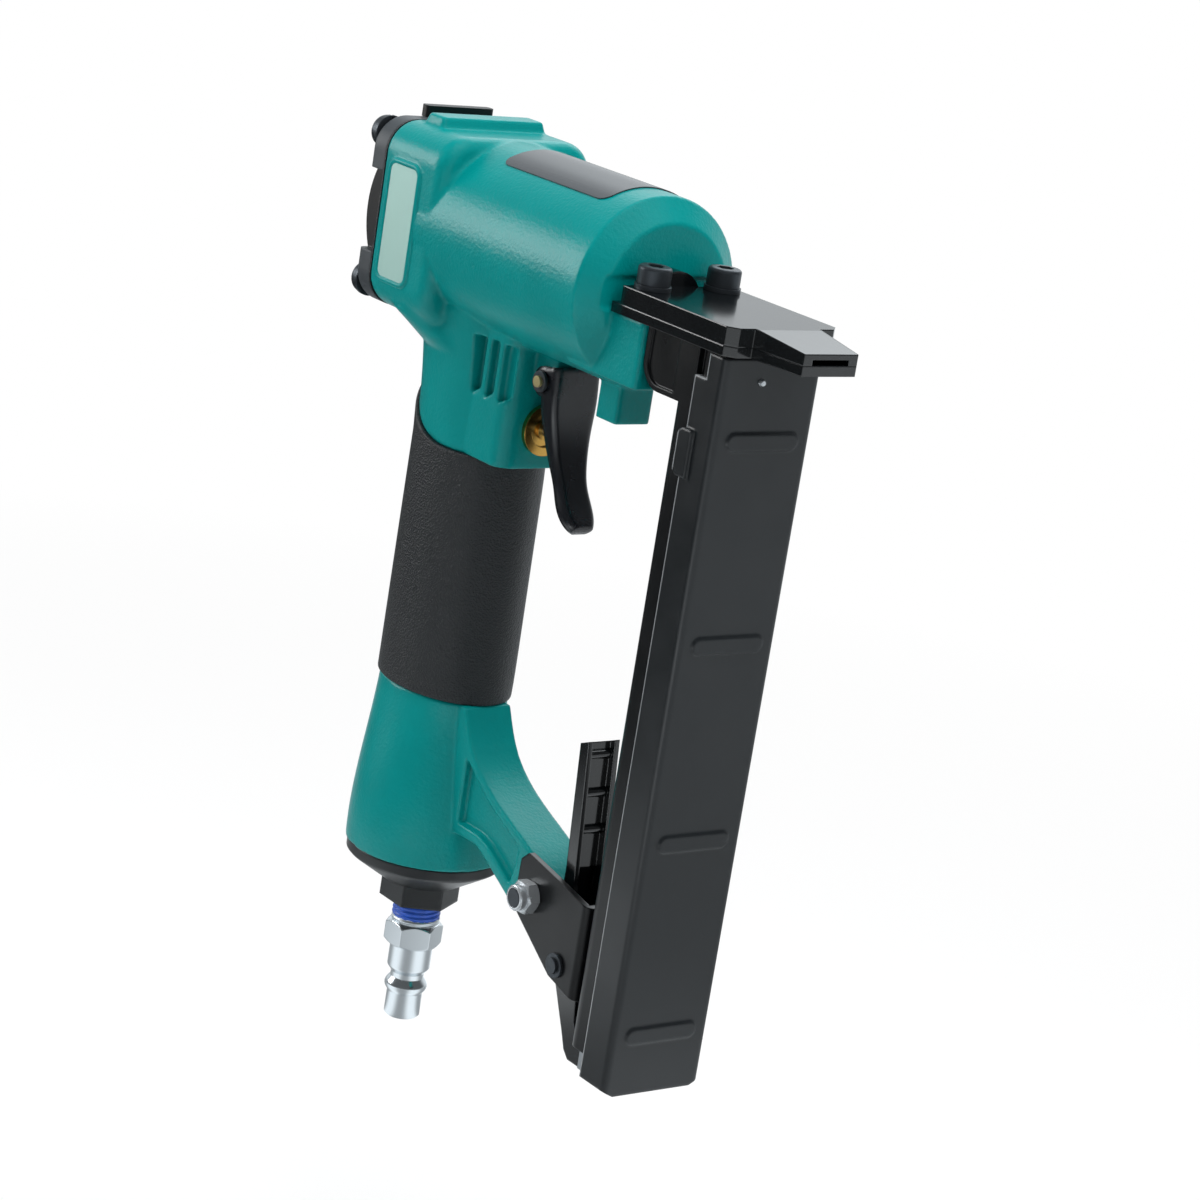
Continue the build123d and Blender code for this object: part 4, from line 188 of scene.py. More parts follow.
def add_enamel(made, colours, sizes):
    """Stove enamel on die-cast alloy: glossy, dimpled like orange peel, deeper where it pooled."""
    material, tree, shader, place = start_finish(
        "enamel_on_casting", colours.enamel, 0.28, Specular_IOR_Level=0.2
    )
    pool = add_node(tree, "ShaderNodeTexNoise", {"Vector": place, "Scale": 1 / (26 * MM), "Detail": 3.0})
    tone = add_node(tree, "ShaderNodeMix", mix_inputs(pool.outputs["Fac"], colours.enamel_deep,
                                                      scaled(colours.enamel, 1.12)), data_type="RGBA")
    tree.links.new(tone.outputs[2], shader.inputs["Base Color"])
    peel = add_node(tree, "ShaderNodeTexNoise", {
        "Vector": place, "Scale": 1 / sizes.peel, "Detail": 2.0, "Roughness": 0.55,
    })
    edges = add_node(tree, "ShaderNodeBevel", {"Radius": sizes.casting_edge}, samples=8)
    dimples = add_node(tree, "ShaderNodeBump", {
        "Height": peel.outputs["Fac"], "Strength": 0.7, "Distance": 0.15 * MM,
        "Normal": edges.outputs["Normal"],
    })
    tree.links.new(dimples.outputs["Normal"], shader.inputs["Normal"])
    made["enamel"] = material


def add_rubber(made, colours, sizes):
    """Moulded nitrile rubber: matt, with a fine leather grain."""
    material, tree, shader, place = start_finish(
        "moulded_rubber", colours.grip, 0.42, Specular_IOR_Level=0.5
    )
    cells = add_node(tree, "ShaderNodeTexVoronoi", {"Vector": place, "Scale": 1 / sizes.rubber_grain})
    fine = add_node(tree, "ShaderNodeTexNoise", {
        "Vector": place, "Scale": 2.2 / sizes.rubber_grain, "Detail": 2.0,
    })
    grain = add_node(tree, "ShaderNodeMath", {
        0: cells.outputs["Distance"], 1: fine.outputs["Fac"],
    }, operation="ADD")
    tone = add_node(tree, "ShaderNodeMix", mix_inputs(fine.outputs["Fac"], scaled(colours.grip, 0.75),
                                                      scaled(colours.grip, 1.4)), data_type="RGBA")
    tree.links.new(tone.outputs[2], shader.inputs["Base Color"])
    pores = add_node(tree, "ShaderNodeBump", {
        "Height": grain.outputs[0], "Strength": 0.9, "Distance": 0.2 * MM,
    })
    tree.links.new(pores.outputs["Normal"], shader.inputs["Normal"])
    made["rubber"] = material


def add_coatings(made, colours):
    """Coated steel sheet and plate: broken edges catch the light, the coating has a faint skin.

    Each row gives the name, colour, roughness, specular level, edge rounding, skin spacing and skin depth.
    """
    for key, colour, roughness, mirror, edge_mm, skin_mm, skin_depth in (
        ("gloss_black", colours.gloss_black, 0.13, 0.8, 0.5, 5.0, 0.012),
        ("satin_black", colours.satin_black, 0.34, 0.5, 1.1, 0.7, 0.012),
        ("trigger_black", colours.trigger_black, 0.26, 0.6, 2.0, 4.0, 0.012),
        ("deep_black", colours.deep_black, 0.3, 0.35, 0.6, 0.9, 0.01),
        ("cap_grey", colours.cap_grey, 0.46, 0.4, 0.6, 0.8, 0.03),
    ):
        material, tree, shader, place = start_finish(
            key + "_coating", colour, roughness, Specular_IOR_Level=mirror
        )
        edges = add_node(tree, "ShaderNodeBevel", {"Radius": edge_mm * MM}, samples=8)
        skin = add_node(tree, "ShaderNodeTexNoise", {
            "Vector": place, "Scale": 1 / (skin_mm * MM), "Detail": 3.0,
        })
        relief = add_node(tree, "ShaderNodeBump", {
            "Height": skin.outputs["Fac"], "Strength": 0.5, "Distance": skin_depth * MM,
            "Normal": edges.outputs["Normal"],
        })
        tree.links.new(relief.outputs["Normal"], shader.inputs["Normal"])
        handling = add_node(tree, "ShaderNodeTexNoise", {
            "Vector": place, "Scale": 1 / (14 * MM), "Detail": 4.0,
        })
        dull = add_node(tree, "ShaderNodeMapRange", {
            "Value": handling.outputs["Fac"], "To Min": roughness * 0.7, "To Max": roughness * 1.4,
        })
        tree.links.new(dull.outputs["Result"], shader.inputs["Roughness"])
        tone = add_node(tree, "ShaderNodeMix", mix_inputs(handling.outputs["Fac"], scaled(colour, 0.85),
                                                          scaled(colour, 1.15)), data_type="RGBA")
        tree.links.new(tone.outputs[2], shader.inputs["Base Color"])
        made[key] = material


def add_cover_edge_highlight(made, colours):
    """The cover's satin coating with a painted highlight: a thin light line along its back edge, its notch and
    its tab, where the rounded edge catches the light.
    """
    material = made["satin_black"].copy()
    material.name = "cover_black_coating"
    made["cover_black"] = material
    tree = material.node_tree
    shader = tree.nodes["Principled BSDF"]
    place = add_node(tree, "ShaderNodeTexCoord").outputs["Object"]
    parts = add_node(tree, "ShaderNodeSeparateXYZ", {0: place})
    x, z = parts.outputs["X"], parts.outputs["Z"]
    notched = add_node(tree, "ShaderNodeMath", {0: z, 1: (NOTCH_Z - HIGHLIGHT_WIDTH) * MM}, operation="GREATER_THAN")
    tabbed = add_node(tree, "ShaderNodeMath", {
        0: z, 1: TAB_Z * MM, 2: TAB_LENGTH / 2 * MM,
    }, operation="COMPARE")
    edge = add_node(tree, "ShaderNodeMath", {
        0: notched.outputs[0], 1: NOTCH_DEPTH * MM, 2: (COVER_EDGE + HIGHLIGHT_WIDTH) * MM,
    }, operation="MULTIPLY_ADD")
    edge = add_node(tree, "ShaderNodeMath", {
        0: tabbed.outputs[0], 1: -TAB_REACH * MM, 2: edge.outputs[0],
    }, operation="MULTIPLY_ADD")
    # Painted highlight: the cover's back edge takes a light steel colour in a thin line that follows the notch
    # and the tab
    bare_and_lit_edge = add_node(tree, "ShaderNodeMath", {0: x, 1: edge.outputs[0]}, operation="LESS_THAN")
    coat = shader.inputs["Base Color"].links[0].from_socket
    lit_edge = add_node(tree, "ShaderNodeMix", {
        0: bare_and_lit_edge.outputs[0], 6: coat, 7: [*scaled(colours.zinc, 0.45), 1.0],
    }, data_type="RGBA")
    tree.links.new(lit_edge.outputs[2], shader.inputs["Base Color"])


def blacken_cap(made, colours):
    """The cap's crowned middle, between its corner lugs, is black."""
    tree = made["cap_grey"].node_tree
    shader = tree.nodes["Principled BSDF"]
    place = add_node(tree, "ShaderNodeTexCoord").outputs["Object"]
    offset = add_node(tree, "ShaderNodeVectorMath", {0: place, 1: (0, 0, -AXIS_Z * MM)}, operation="ADD")
    reach = add_node(tree, "ShaderNodeVectorMath", {0: offset.outputs[0]}, operation="ABSOLUTE")
    ends = add_node(tree, "ShaderNodeSeparateXYZ", {0: reach.outputs[0]})
    across, up = (
        add_node(tree, "ShaderNodeMath", {0: ends.outputs[axis], 1: limit * MM}, operation="LESS_THAN")
        for axis, limit in CAP_MIDDLE
    )
    middle = add_node(tree, "ShaderNodeMath", {0: across.outputs[0], 1: up.outputs[0]}, operation="MULTIPLY")
    paint = shader.inputs["Base Color"].links[0].from_socket
    parted = add_node(tree, "ShaderNodeMix", {
        0: middle.outputs[0], 6: paint, 7: [*colours.deep_black, 1.0],
    }, data_type="RGBA")
    tree.links.new(parted.outputs[2], shader.inputs["Base Color"])


def add_metals(made, colours):
    """Bare and plated metals: machining or plating grain in the roughness.

    Each row gives the name, colour, roughness, share of metal and grain spacing.
    """
    for key, colour, roughness, metal, grain_mm in (
        ("black_oxide", colours.black_oxide, 0.4, 0.75, 0.5),
        ("chrome", colours.chrome, 0.2, 1.0, 6.0),
        ("zinc", colours.zinc, 0.25, 0.7, 5.0),
        ("yellow_zinc", colours.yellow_zinc, 0.3, 0.7, 5.0),
        ("ground_steel", scaled(colours.zinc, 0.8), 0.33, 1.0, 0.6),
        ("turned_alloy", scaled(colours.chrome, 0.8), 0.35, 1.0, 0.5),
    ):
        material, tree, shader, place = start_finish(key + "_metal", colour, roughness, Metallic=metal)
        edges = add_node(tree, "ShaderNodeBevel", {"Radius": BROKEN_EDGE * MM}, samples=6)
        grain = add_node(tree, "ShaderNodeTexNoise", {
            "Vector": place, "Scale": 1 / (grain_mm * MM), "Detail": 3.0,
        })
        dull = add_node(tree, "ShaderNodeMapRange", {
            "Value": grain.outputs["Fac"], "To Min": roughness * 0.7, "To Max": roughness * 1.35,
        })
        tree.links.new(dull.outputs["Result"], shader.inputs["Roughness"])
        tree.links.new(edges.outputs["Normal"], shader.inputs["Normal"])
        made[key] = material


def add_brass(made, colours):
    """Turned brass: fine tool rings around the bushing's axis."""
    material, tree, shader, place = start_finish("turned_brass", colours.brass, 0.22, Metallic=1.0)
    centre = add_node(tree, "ShaderNodeMapping", {"Vector": place, "Location": (0, 0, -VALVE_Z * MM)})
    # A wave of scale 1 turns through 20 radians in a metre: rings 2.2 mm apart, coarse enough to show
    rings = add_node(tree, "ShaderNodeTexWave", {
        "Vector": centre.outputs["Vector"], "Scale": 1 / (20 * 0.35 * MM), "Distortion": 0.3,
    }, wave_type="RINGS", rings_direction="X")
    edges = add_node(tree, "ShaderNodeBevel", {"Radius": BROKEN_EDGE * MM}, samples=6)
    cut = add_node(tree, "ShaderNodeBump", {
        "Height": rings.outputs["Fac"], "Strength": 0.35, "Distance": 0.01 * MM,
        "Normal": edges.outputs["Normal"],
    })
    tree.links.new(cut.outputs["Normal"], shader.inputs["Normal"])
    made["brass"] = material


def add_sealant(made, colours):
    """Cured thread sealant: waxy and uneven."""
    material, tree, shader, place = start_finish("cured_sealant", colours.sealant, 0.42)
    smear = add_node(tree, "ShaderNodeTexNoise", {"Vector": place, "Scale": 1 / (1.6 * MM), "Detail": 3.0})
    tone = add_node(tree, "ShaderNodeMix", mix_inputs(smear.outputs["Fac"], scaled(colours.sealant, 0.7),
                                                      scaled(colours.sealant, 1.35)), data_type="RGBA")
    # It stops short of the plug's hexagon with a ragged border, and leaves the last thread bare
    ragged = add_node(tree, "ShaderNodeMath", {0: smear.outputs["Fac"], 1: 1.2 * MM}, operation="MULTIPLY")
    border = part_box("thread_sealant")[0].z + 0.9 * MM
    height = add_node(tree, "ShaderNodeSeparateXYZ", {0: place})
    level = add_node(tree, "ShaderNodeMath", {
        0: height.outputs["Z"], 1: ragged.outputs[0],
    }, operation="SUBTRACT")
    bare_and_lit_edge = add_node(tree, "ShaderNodeMath", {0: level.outputs[0], 1: border}, operation="LESS_THAN")
    ends = add_node(tree, "ShaderNodeMix", {
        0: bare_and_lit_edge.outputs[0], 6: tone.outputs[2], 7: [*colours.chrome, 1.0],
    }, data_type="RGBA")
    tree.links.new(ends.outputs[2], shader.inputs["Base Color"])
    tree.links.new(bare_and_lit_edge.outputs[0], shader.inputs["Metallic"])
    made["sealant"] = material


def add_plate(made, colours):
    """Anodised aluminium plate: satin, with brushing along its height."""
    material, tree, shader, place = start_finish("anodised_plate", colours.plate, 0.34, Metallic=0.35)
    across, along = 1 / (0.3 * MM), 1 / (25 * MM)
    strokes = add_node(tree, "ShaderNodeMapping", {"Vector": place, "Scale": (across, across, along)})
    brush = add_node(tree, "ShaderNodeTexNoise", {
        "Vector": strokes.outputs["Vector"], "Scale": 1.0, "Detail": 2.0,
    })
    dull = add_node(tree, "ShaderNodeMapRange", {
        "Value": brush.outputs["Fac"], "To Min": 0.26, "To Max": 0.44,
    })
    tree.links.new(dull.outputs["Result"], shader.inputs["Roughness"])
    made["plate"] = material


def add_polymers(made, colours):
    """Printed vinyl, varnished; and moulded engineering plastic."""
    for key, colour, roughness in (("label", colours.label, 0.22), ("plastic", colours.gloss_black, 0.45)):
        material, tree, shader, place = start_finish(key + "_polymer", colour, roughness)
        haze = add_node(tree, "ShaderNodeTexNoise", {"Vector": place, "Scale": 1 / (3 * MM), "Detail": 4.0})
        dull = add_node(tree, "ShaderNodeMapRange", {
            "Value": haze.outputs["Fac"], "To Min": roughness * 0.85, "To Max": roughness * 1.2,
        })
        tree.links.new(dull.outputs["Result"], shader.inputs["Roughness"])
        made[key] = material


def make_finishes(colours, sizes):
    """All materials of the tool by name."""
    made = {}
    for add in (add_enamel, add_rubber):
        add(made, colours, sizes)
    for add in (
        add_coatings, add_cover_edge_highlight, blacken_cap, add_metals, add_brass, add_sealant, add_plate,
        add_polymers,
    ):
        add(made, colours)
    return made


# CAD nodes by the finish they take
NODE_FINISHES = {
    "enamel": ["body"],
    "rubber": ["grip_sleeve", "bumper", "piston_ring", "head_valve_seal", "end_cap_seal", "cap_gasket"],
    "gloss_black": ["front_plate", "base_plate", "blade_guide", "latch_lever"],
    "satin_black": ["end_cap"],
    "trigger_black": ["trigger"],
    "cover_black": ["magazine_cover"],
    "deep_black": ["magazine_rail", "rail_spine", "bracket"],
    "cap_grey": ["cylinder_cap"],
    "black_oxide": ["cap_screws", "cap_washers", "nose_screws", "nose_washers", "trigger_clips",
                    "latch_clips", "latch_pin", "bracket_bolt"],
    "chrome": ["air_plug"],
    "zinc": ["bracket_nut", "cover_stud", "bracket_rivets", "pusher", "core_rail"],
    "yellow_zinc": ["trigger_pin"],
    "ground_steel": ["driver_blade", "driver_pin", "guide_rod", "tail_block", "valve_stem",
                     "head_valve_spring", "valve_spring", "pusher_spring", "latch_spring"],
    "turned_alloy": ["cylinder_sleeve", "piston"],
    "brass": ["valve_bushing"],
    "sealant": ["thread_sealant"],
    "plate": ["name_plate"],
    "label": ["label_plate"],
    "plastic": ["exhaust_deflector", "head_valve"],
}


def finish(name):
    """Material made earlier by the finishes operator."""
    return bpy.data.materials[bpy.context.scene[f"stapler_{name}"]]


def add_piece(name, mesh, body, material):
    """Links a mesh as a piece that rides on a body, at the origin."""
    piece = bpy.data.objects.new(name, mesh)
    bpy.context.scene.collection.objects.link(piece)
    mesh.materials.append(material)
    mesh.polygons.foreach_set("use_smooth", np.ones(len(mesh.polygons), bool))
    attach(piece, body)
    return piece


def grid_mesh(name, points, around=True, along=False, caps=False):
    """Mesh over an array of rows by columns of points in millimetres.

    Each cell between two rows and two columns is one quad. around joins the last column to the first,
    along joins the last row to the first, and caps closes the first and last row with one face each.
    """
    rows, columns = points.shape[:2]
    index = np.arange(rows * columns).reshape(rows, columns)
    if around:
        index = np.concatenate([index, index[:, :1]], axis=1)
    if along:
        index = np.concatenate([index, index[:1]], axis=0)
    quads = np.stack([index[:-1, :-1], index[:-1, 1:], index[1:, 1:], index[1:, :-1]], axis=-1)
    faces = quads.reshape(-1, 4).tolist()
    if caps:
        faces.append(np.arange(columns)[::-1].tolist())
        faces.append((np.arange(columns) + (rows - 1) * columns).tolist())
    mesh = bpy.data.meshes.new(name)
    mesh.from_pydata((points.reshape(-1, 3) * MM).tolist(), [], faces)
    mesh.validate()
    return mesh


def outward(mesh):
    """Turns all faces of a closed shell outwards."""
    work = bmesh.new()
    work.from_mesh(mesh)
    bmesh.ops.recalc_face_normals(work, faces=work.faces)
    work.to_mesh(mesh)
    work.free()
    return mesh


def tube_along(path, out, radius, sides=12):
    """Round profile carried along a path: each point gets a ring across the path's direction there.

    The ring starts at out, the direction away from the coil's axis, and turns towards the direction square
    to both out and the path.
    """
    step = np.gradient(path, axis=0)
    step /= np.linalg.norm(step, axis=1, keepdims=True)
    aside = out - step * np.sum(out * step, axis=1, keepdims=True)
    aside /= np.linalg.norm(aside, axis=1, keepdims=True)
    over = np.cross(step, aside)
    angle = np.linspace(0, TURN, sides, endpoint=False)
    ring = aside[:, None] * np.cos(angle)[:, None] + over[:, None] * np.sin(angle)[:, None]
    return path[:, None] + radius * ring


def spring_path(start, length, direction, radius, turns, wire, points_per_turn=28, closed=1.0):
    """Compression spring's helix with closed end coils, and the direction away from its axis at each point.

    The height climbs one wire a turn in the closed coils at both ends, and evenly between them.
    """
    t = np.linspace(0, turns, int(turns * points_per_turn) + 1)
    climb = np.clip((t - closed) / (turns - 2 * closed), 0, 1)
    dead = np.minimum(t, closed) + np.maximum(t - turns + closed, 0)
    height = dead * wire + climb * (length - 2 * closed * wire)
    axis = np.array(direction, float)
    first = np.array([axis[1], axis[2], axis[0]])
    second = np.cross(axis, first)
    out = np.outer(np.cos(TURN * t), first) + np.outer(np.sin(TURN * t), second)
    return np.array(start) + radius * out + np.outer(height, axis), out


class STAPLER_OT_finishes(bpy.types.Operator):
    """Makes the materials and gives each CAD node its own"""

    bl_idname = "stapler.finishes"
    bl_label = "Finishes"

    def execute(self, context):
        made = make_finishes(context.scene.stapler_colours, context.scene.stapler_sizes)
        for name, material in made.items():
            context.scene[f"stapler_{name}"] = material.name
        for name, nodes in NODE_FINISHES.items():
            for node in nodes:
                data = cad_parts[node].data
                data.materials.clear()
                data.materials.append(made[name])
        return {"FINISHED"}


# Bores closed before the casting is softened: axis, start point, length and radius in millimetres
BORE_PLUGS = [
    ("X", (-29.9, 0, AXIS_Z), 18.2, 19.4),           # head valve's chamber
    ("X", (-12.2, 0, AXIS_Z), 71.4, 18.1),           # cylinder
    ("X", (58.5, 0, AXIS_Z), 7.0, 6.2),              # blade's way out
    ("Z", (0, 0, 51.3), 12.2, 14.9),                 # end cap's seat
    ("Z", (HANDLE_X / 2, 0, 52.0), 108.5, 11.3),     # handle's air chamber
    ("Z", (-9.5, 0, 155.0), 52.0, 4.8),              # port from the handle to the head
    ("X", (7.8, 0, VALVE_Z), 16.1, 6.3),             # trigger's valve
    *[("X", (-29.9, y, AXIS_Z + z), 17.4, 2.8) for y in (19, -19) for z in (20, -20)],   # cap's screws
    *[("Z", (73.6, y, 206.0), 12.3, 2.8) for y in (11, -11)],                            # nose's screws
    ("Y", (BOLT_X, -7.4, BOLT_Z), 14.8, 2.8),
    ("Y", (PIVOT_X, -5.5, PIVOT_Z), 11.0, 1.8),
]
BORE_TURNS = {
    "X": Matrix.Rotation(math.pi / 2, 4, "Y"),
    "Y": Matrix.Rotation(-math.pi / 2, 4, "X"),
    "Z": Matrix.Identity(4),
}


def relax(points, edges, weight, rounds):
    """Moves each point towards the mean of its neighbours by its own weight, a number of times."""
    ends = np.concatenate([edges, edges[:, ::-1]])
    count = np.bincount(ends[:, 0], minlength=len(points))[:, None]
    for _ in range(rounds):
        total = np.stack([
            np.bincount(ends[:, 0], weights=points[ends[:, 1], k], minlength=len(points)) for k in range(3)
        ], axis=1)
        points = points + weight[:, None] * (total / count - points)
    return points


def applied(context, holder):
    """Mesh of an object with its modifiers worked in; the object goes."""
    mesh = bpy.data.meshes.new_from_object(holder.evaluated_get(context.evaluated_depsgraph_get()))
    bpy.data.objects.remove(holder)
    return mesh


class STAPLER_OT_casting(bpy.types.Operator):
    """Die casting with soft edges: the CAD body on a fine grid, its edges and hollows relaxed"""

    bl_idname = "stapler.casting"
    bl_label = "Casting"

    def execute(self, context):
        sizes = context.scene.stapler_sizes
        work = bmesh.new()
        work.from_mesh(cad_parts["body"].data)
        bmesh.ops.remove_doubles(work, verts=work.verts, dist=1e-6)
        for axis, start, length, radius in BORE_PLUGS:
            turn = BORE_TURNS[axis]
            middle = Vector(start) + turn.to_3x3() @ Vector((0, 0, length / 2))
            bmesh.ops.create_cone(
                work, cap_ends=True, segments=48, radius1=radius * MM, radius2=radius * MM,
                depth=length * MM, matrix=Matrix.Translation(middle * MM) @ turn,
            )
        rough = bpy.data.meshes.new("casting_rough")
        work.to_mesh(rough)
        work.free()
        holder = bpy.data.objects.new("casting_rough", rough)
        context.scene.collection.objects.link(holder)
        remesh = holder.modifiers.new("grid", "REMESH")
        remesh.mode = "VOXEL"
        remesh.voxel_size = sizes.casting_grain
        mesh = applied(context, holder)
        points = np.empty(len(mesh.vertices) * 3)
        mesh.vertices.foreach_get("co", points)
        points = points.reshape(-1, 3)
        edges = np.empty(len(mesh.edges) * 2, int)
        mesh.edges.foreach_get("vertices", edges)
        edges = edges.reshape(-1, 2)
        points = relax(points, edges, np.full(len(points), 0.5), sizes.soften)
        # Where the barrel runs into the head and the handle the casting has wide fillets; the handle's fades
        # out from 1 to 5 mm in front of the plug's axis
        x, _, z = points.T / MM
        head_fillet, neck_fillet = 2.6, 5.0
        near_head = np.exp(-((x - HEAD_FRONT) / head_fillet) ** 2)
        near_neck = np.exp(-((z - BARREL_LOW) / neck_fillet) ** 2) * np.clip((5 - x) / 4, 0, 1)
        points = relax(points, edges, near_head * 0.5, rounds=8)
        points = relax(points, edges, near_neck * 0.5, rounds=30)
        mesh.vertices.foreach_set("co", points.ravel())
        mesh.update()
        mesh.materials.clear()
        mesh.polygons.foreach_set("use_smooth", np.ones(len(mesh.polygons), bool))
        holder = bpy.data.objects.new("casting_dense", mesh)
        context.scene.collection.objects.link(holder)
        thin = holder.modifiers.new("thin", "DECIMATE")
        thin.ratio = min(1.0, sizes.casting_faces / (2 * len(mesh.polygons)))
        # Large flat faces lead the shading at their borders
        holder.modifiers.new("flat_first", "WEIGHTED_NORMAL").weight = 60
        mesh = applied(context, holder)
        piece = add_piece("cast_body", mesh, "tool", finish("enamel"))
        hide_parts("body")
        return {"FINISHED"}


class STAPLER_OT_grip(bpy.types.Operator):
    """Rubber sleeve: upright ovals from the lower rim to an upper rim that sweeps up at the back"""

    bl_idname = "stapler.grip"
    bl_label = "Grip"

    def execute(self, context):
        lip = context.scene.stapler_sizes.grip_lip / MM
        wall, clear, rows = 2.2, 0.05, 60
        angle = np.linspace(0, TURN, 160, endpoint=False)
        # Wall profile: share of the height, height above the rim and offset from the outer oval
        quarter = np.linspace(0, math.pi / 2, 6)
        rim_rise = lip * (1 - np.cos(quarter))
        rim_in = -lip * (1 - np.sin(quarter))
        rim = len(quarter) + 1
        heights = np.concatenate([np.zeros(rim), np.linspace(0.02, 0.98, rows), np.ones(rim)])
        rises = np.concatenate([[0.0], rim_rise, np.zeros(rows), -rim_rise[::-1], [0.0]])
        offsets = np.concatenate([[-wall], rim_in, np.zeros(rows), rim_in[::-1], [-wall]])
        # The upper rim is level from the front to the knee and follows an arc from there to the back
        middle = HANDLE_X + GRIP_OVALS[0, 2] * np.cos(angle)
        knee, back = HANDLE_X + HANDLE_DEEP * 0.3, HANDLE_X - HANDLE_DEEP * 1.15
        along = np.clip((knee - middle) / (knee - back), 0, 1)
        radius = ((knee - back) ** 2 + SLEEVE_RISE ** 2) / (2 * SLEEVE_RISE)
        rise = radius - np.sqrt(np.maximum(radius ** 2 - (along * (knee - back)) ** 2, 0))
        top = SLEEVE_TOP - clear + rise
        z = SLEEVE_BOTTOM + heights[:, None] * (top - SLEEVE_BOTTOM) + rises[:, None]
        centre, deep, wide = (np.interp(z, GRIP_OVALS[:, 0], GRIP_OVALS[:, k]) for k in (1, 2, 3))
        # Soft lengthwise ridges where the flat sides meet the rounded front, with a hollow beside each: bells
        # of a height in millimetres, at an angle from the front and with a spread in radians
        turn = np.abs((angle + math.pi) % TURN - math.pi)
        ridge = sum(
            bell * np.exp(-((turn - place) / spread) ** 2)
            for bell, place, spread in ((0.35, 0.62, 0.16), (-0.25, 1.05, 0.22))
        )
        out = offsets[:, None] + ridge * (1 - np.abs(2 * heights[:, None] - 1) ** 8)
        points = np.stack([
            centre + (deep + out) * np.cos(angle), (wide + out) * np.sin(angle), z,
        ], axis=-1)
        mesh = grid_mesh("grip", points, around=True, along=True)
        piece = add_piece("rubber_grip", outward(mesh), "tool", finish("rubber"))
        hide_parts("grip_sleeve")
        return {"FINISHED"}


# Springs: node, body, start, direction, coil radius, length, turns, wire, the joint that presses it, and the
# share of its length that stays at that joint's end
SPRINGS = [
    ("head_valve_spring", "tool", (-29.4, 0, AXIS_Z), (1, 0, 0), 9.0, 11.9, 4, 1.6,
     "head_valve_slide", 0.66),
    ("valve_spring", "tool", (8.7, 0, VALVE_Z), (1, 0, 0), 3.2, 9.1, 5, 0.7, "valve_stem_slide", 0.66),
    ("pusher_spring", "magazine_slide", (101.0, 0, 36.8), (0, 0, 1), 2.1, 155.9, 44, 0.7,
     "pusher_slide", 0.23),
    ("latch_spring", "tool", (LATCH_X, -2.4, LATCH_Z), (0, 1, 0), 3.4, 4.8, 4, 0.9, None, 1.0),
]


class STAPLER_OT_springs(bpy.types.Operator):
    """Wound springs, closed at their ends; each spring listed with a joint gets a mesh of its own"""

    bl_idname = "stapler.springs"
    bl_label = "Springs"

    def execute(self, context):
        for node, body, start, direction, radius, length, turns, wire, joint, keep in SPRINGS:
            path, out = spring_path(start, length, direction, radius, turns, wire)
            mesh = grid_mesh(node, tube_along(path, out, wire / 2), caps=True)
            piece = add_piece(node + "_coil", outward(mesh), body, finish("ground_steel"))
            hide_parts(node)
            if joint:
                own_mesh(piece)
        return {"FINISHED"}


class STAPLER_OT_sealed_thread(bpy.types.Operator):
    """Thread of the plug under its sealant: a helical ridge on a round bar"""

    bl_idname = "stapler.sealed_thread"
    bl_label = "Sealed thread"

    def execute(self, context):
        low, high = (c.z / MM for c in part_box("thread_sealant"))
        pitch, radius, depth = 1.34, 6.66, 0.13
        angle = np.linspace(0, TURN, 72, endpoint=False)
        z = np.linspace(low, high, 66)[:, None]
        ridge = depth * np.cos(TURN * z / pitch - angle)
        smear = 0.03 * np.sin(3 * angle + 2.1 * z) + 0.02 * np.sin(7 * angle - 3.3 * z)
        r = radius + ridge + smear
        points = np.stack([r * np.cos(angle), r * np.sin(angle), np.broadcast_to(z, r.shape)], axis=-1)
        mesh = grid_mesh("sealed_thread", points, caps=True)
        piece = add_piece("sealed_thread", outward(mesh), "tool", finish("sealant"))
        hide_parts("thread_sealant")
        return {"FINISHED"}


def turned_hexagon(profile, across, columns=96, step=0.2):
    """Turned piece with a hexagon: everywhere the smaller of the turned radius and the hexagon's reach.

    The hexagon's reach at an angle is half its width across flats over the cosine of the angle from the
    middle of the nearest flat. profile gives the turned radius and the height; its rows lie a step apart.
    """
    length = np.append(0, np.cumsum(np.linalg.norm(np.diff(profile, axis=0), axis=1)))
    rows = np.union1d(np.arange(0, length[-1], step), length)
    radius, height = (np.interp(rows, length, profile[:, k])[:, None] for k in range(2))
    angle = np.linspace(0, TURN, columns, endpoint=False)
    reach = np.minimum(radius, across / 2 / np.cos(angle % (TURN / 6) - TURN / 12))
    return np.stack([
        reach * np.cos(angle), reach * np.sin(angle), np.broadcast_to(height, reach.shape),
    ], axis=-1)


def add_turned(name, points, node, material):
    """Links a turned mesh with crisp edges in place of its CAD node."""
    mesh = outward(grid_mesh(name, points, around=True, along=True))
    piece = add_piece(name, mesh, "tool", material)
    mesh.set_sharp_from_angle(angle=CRISP)
    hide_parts(node)


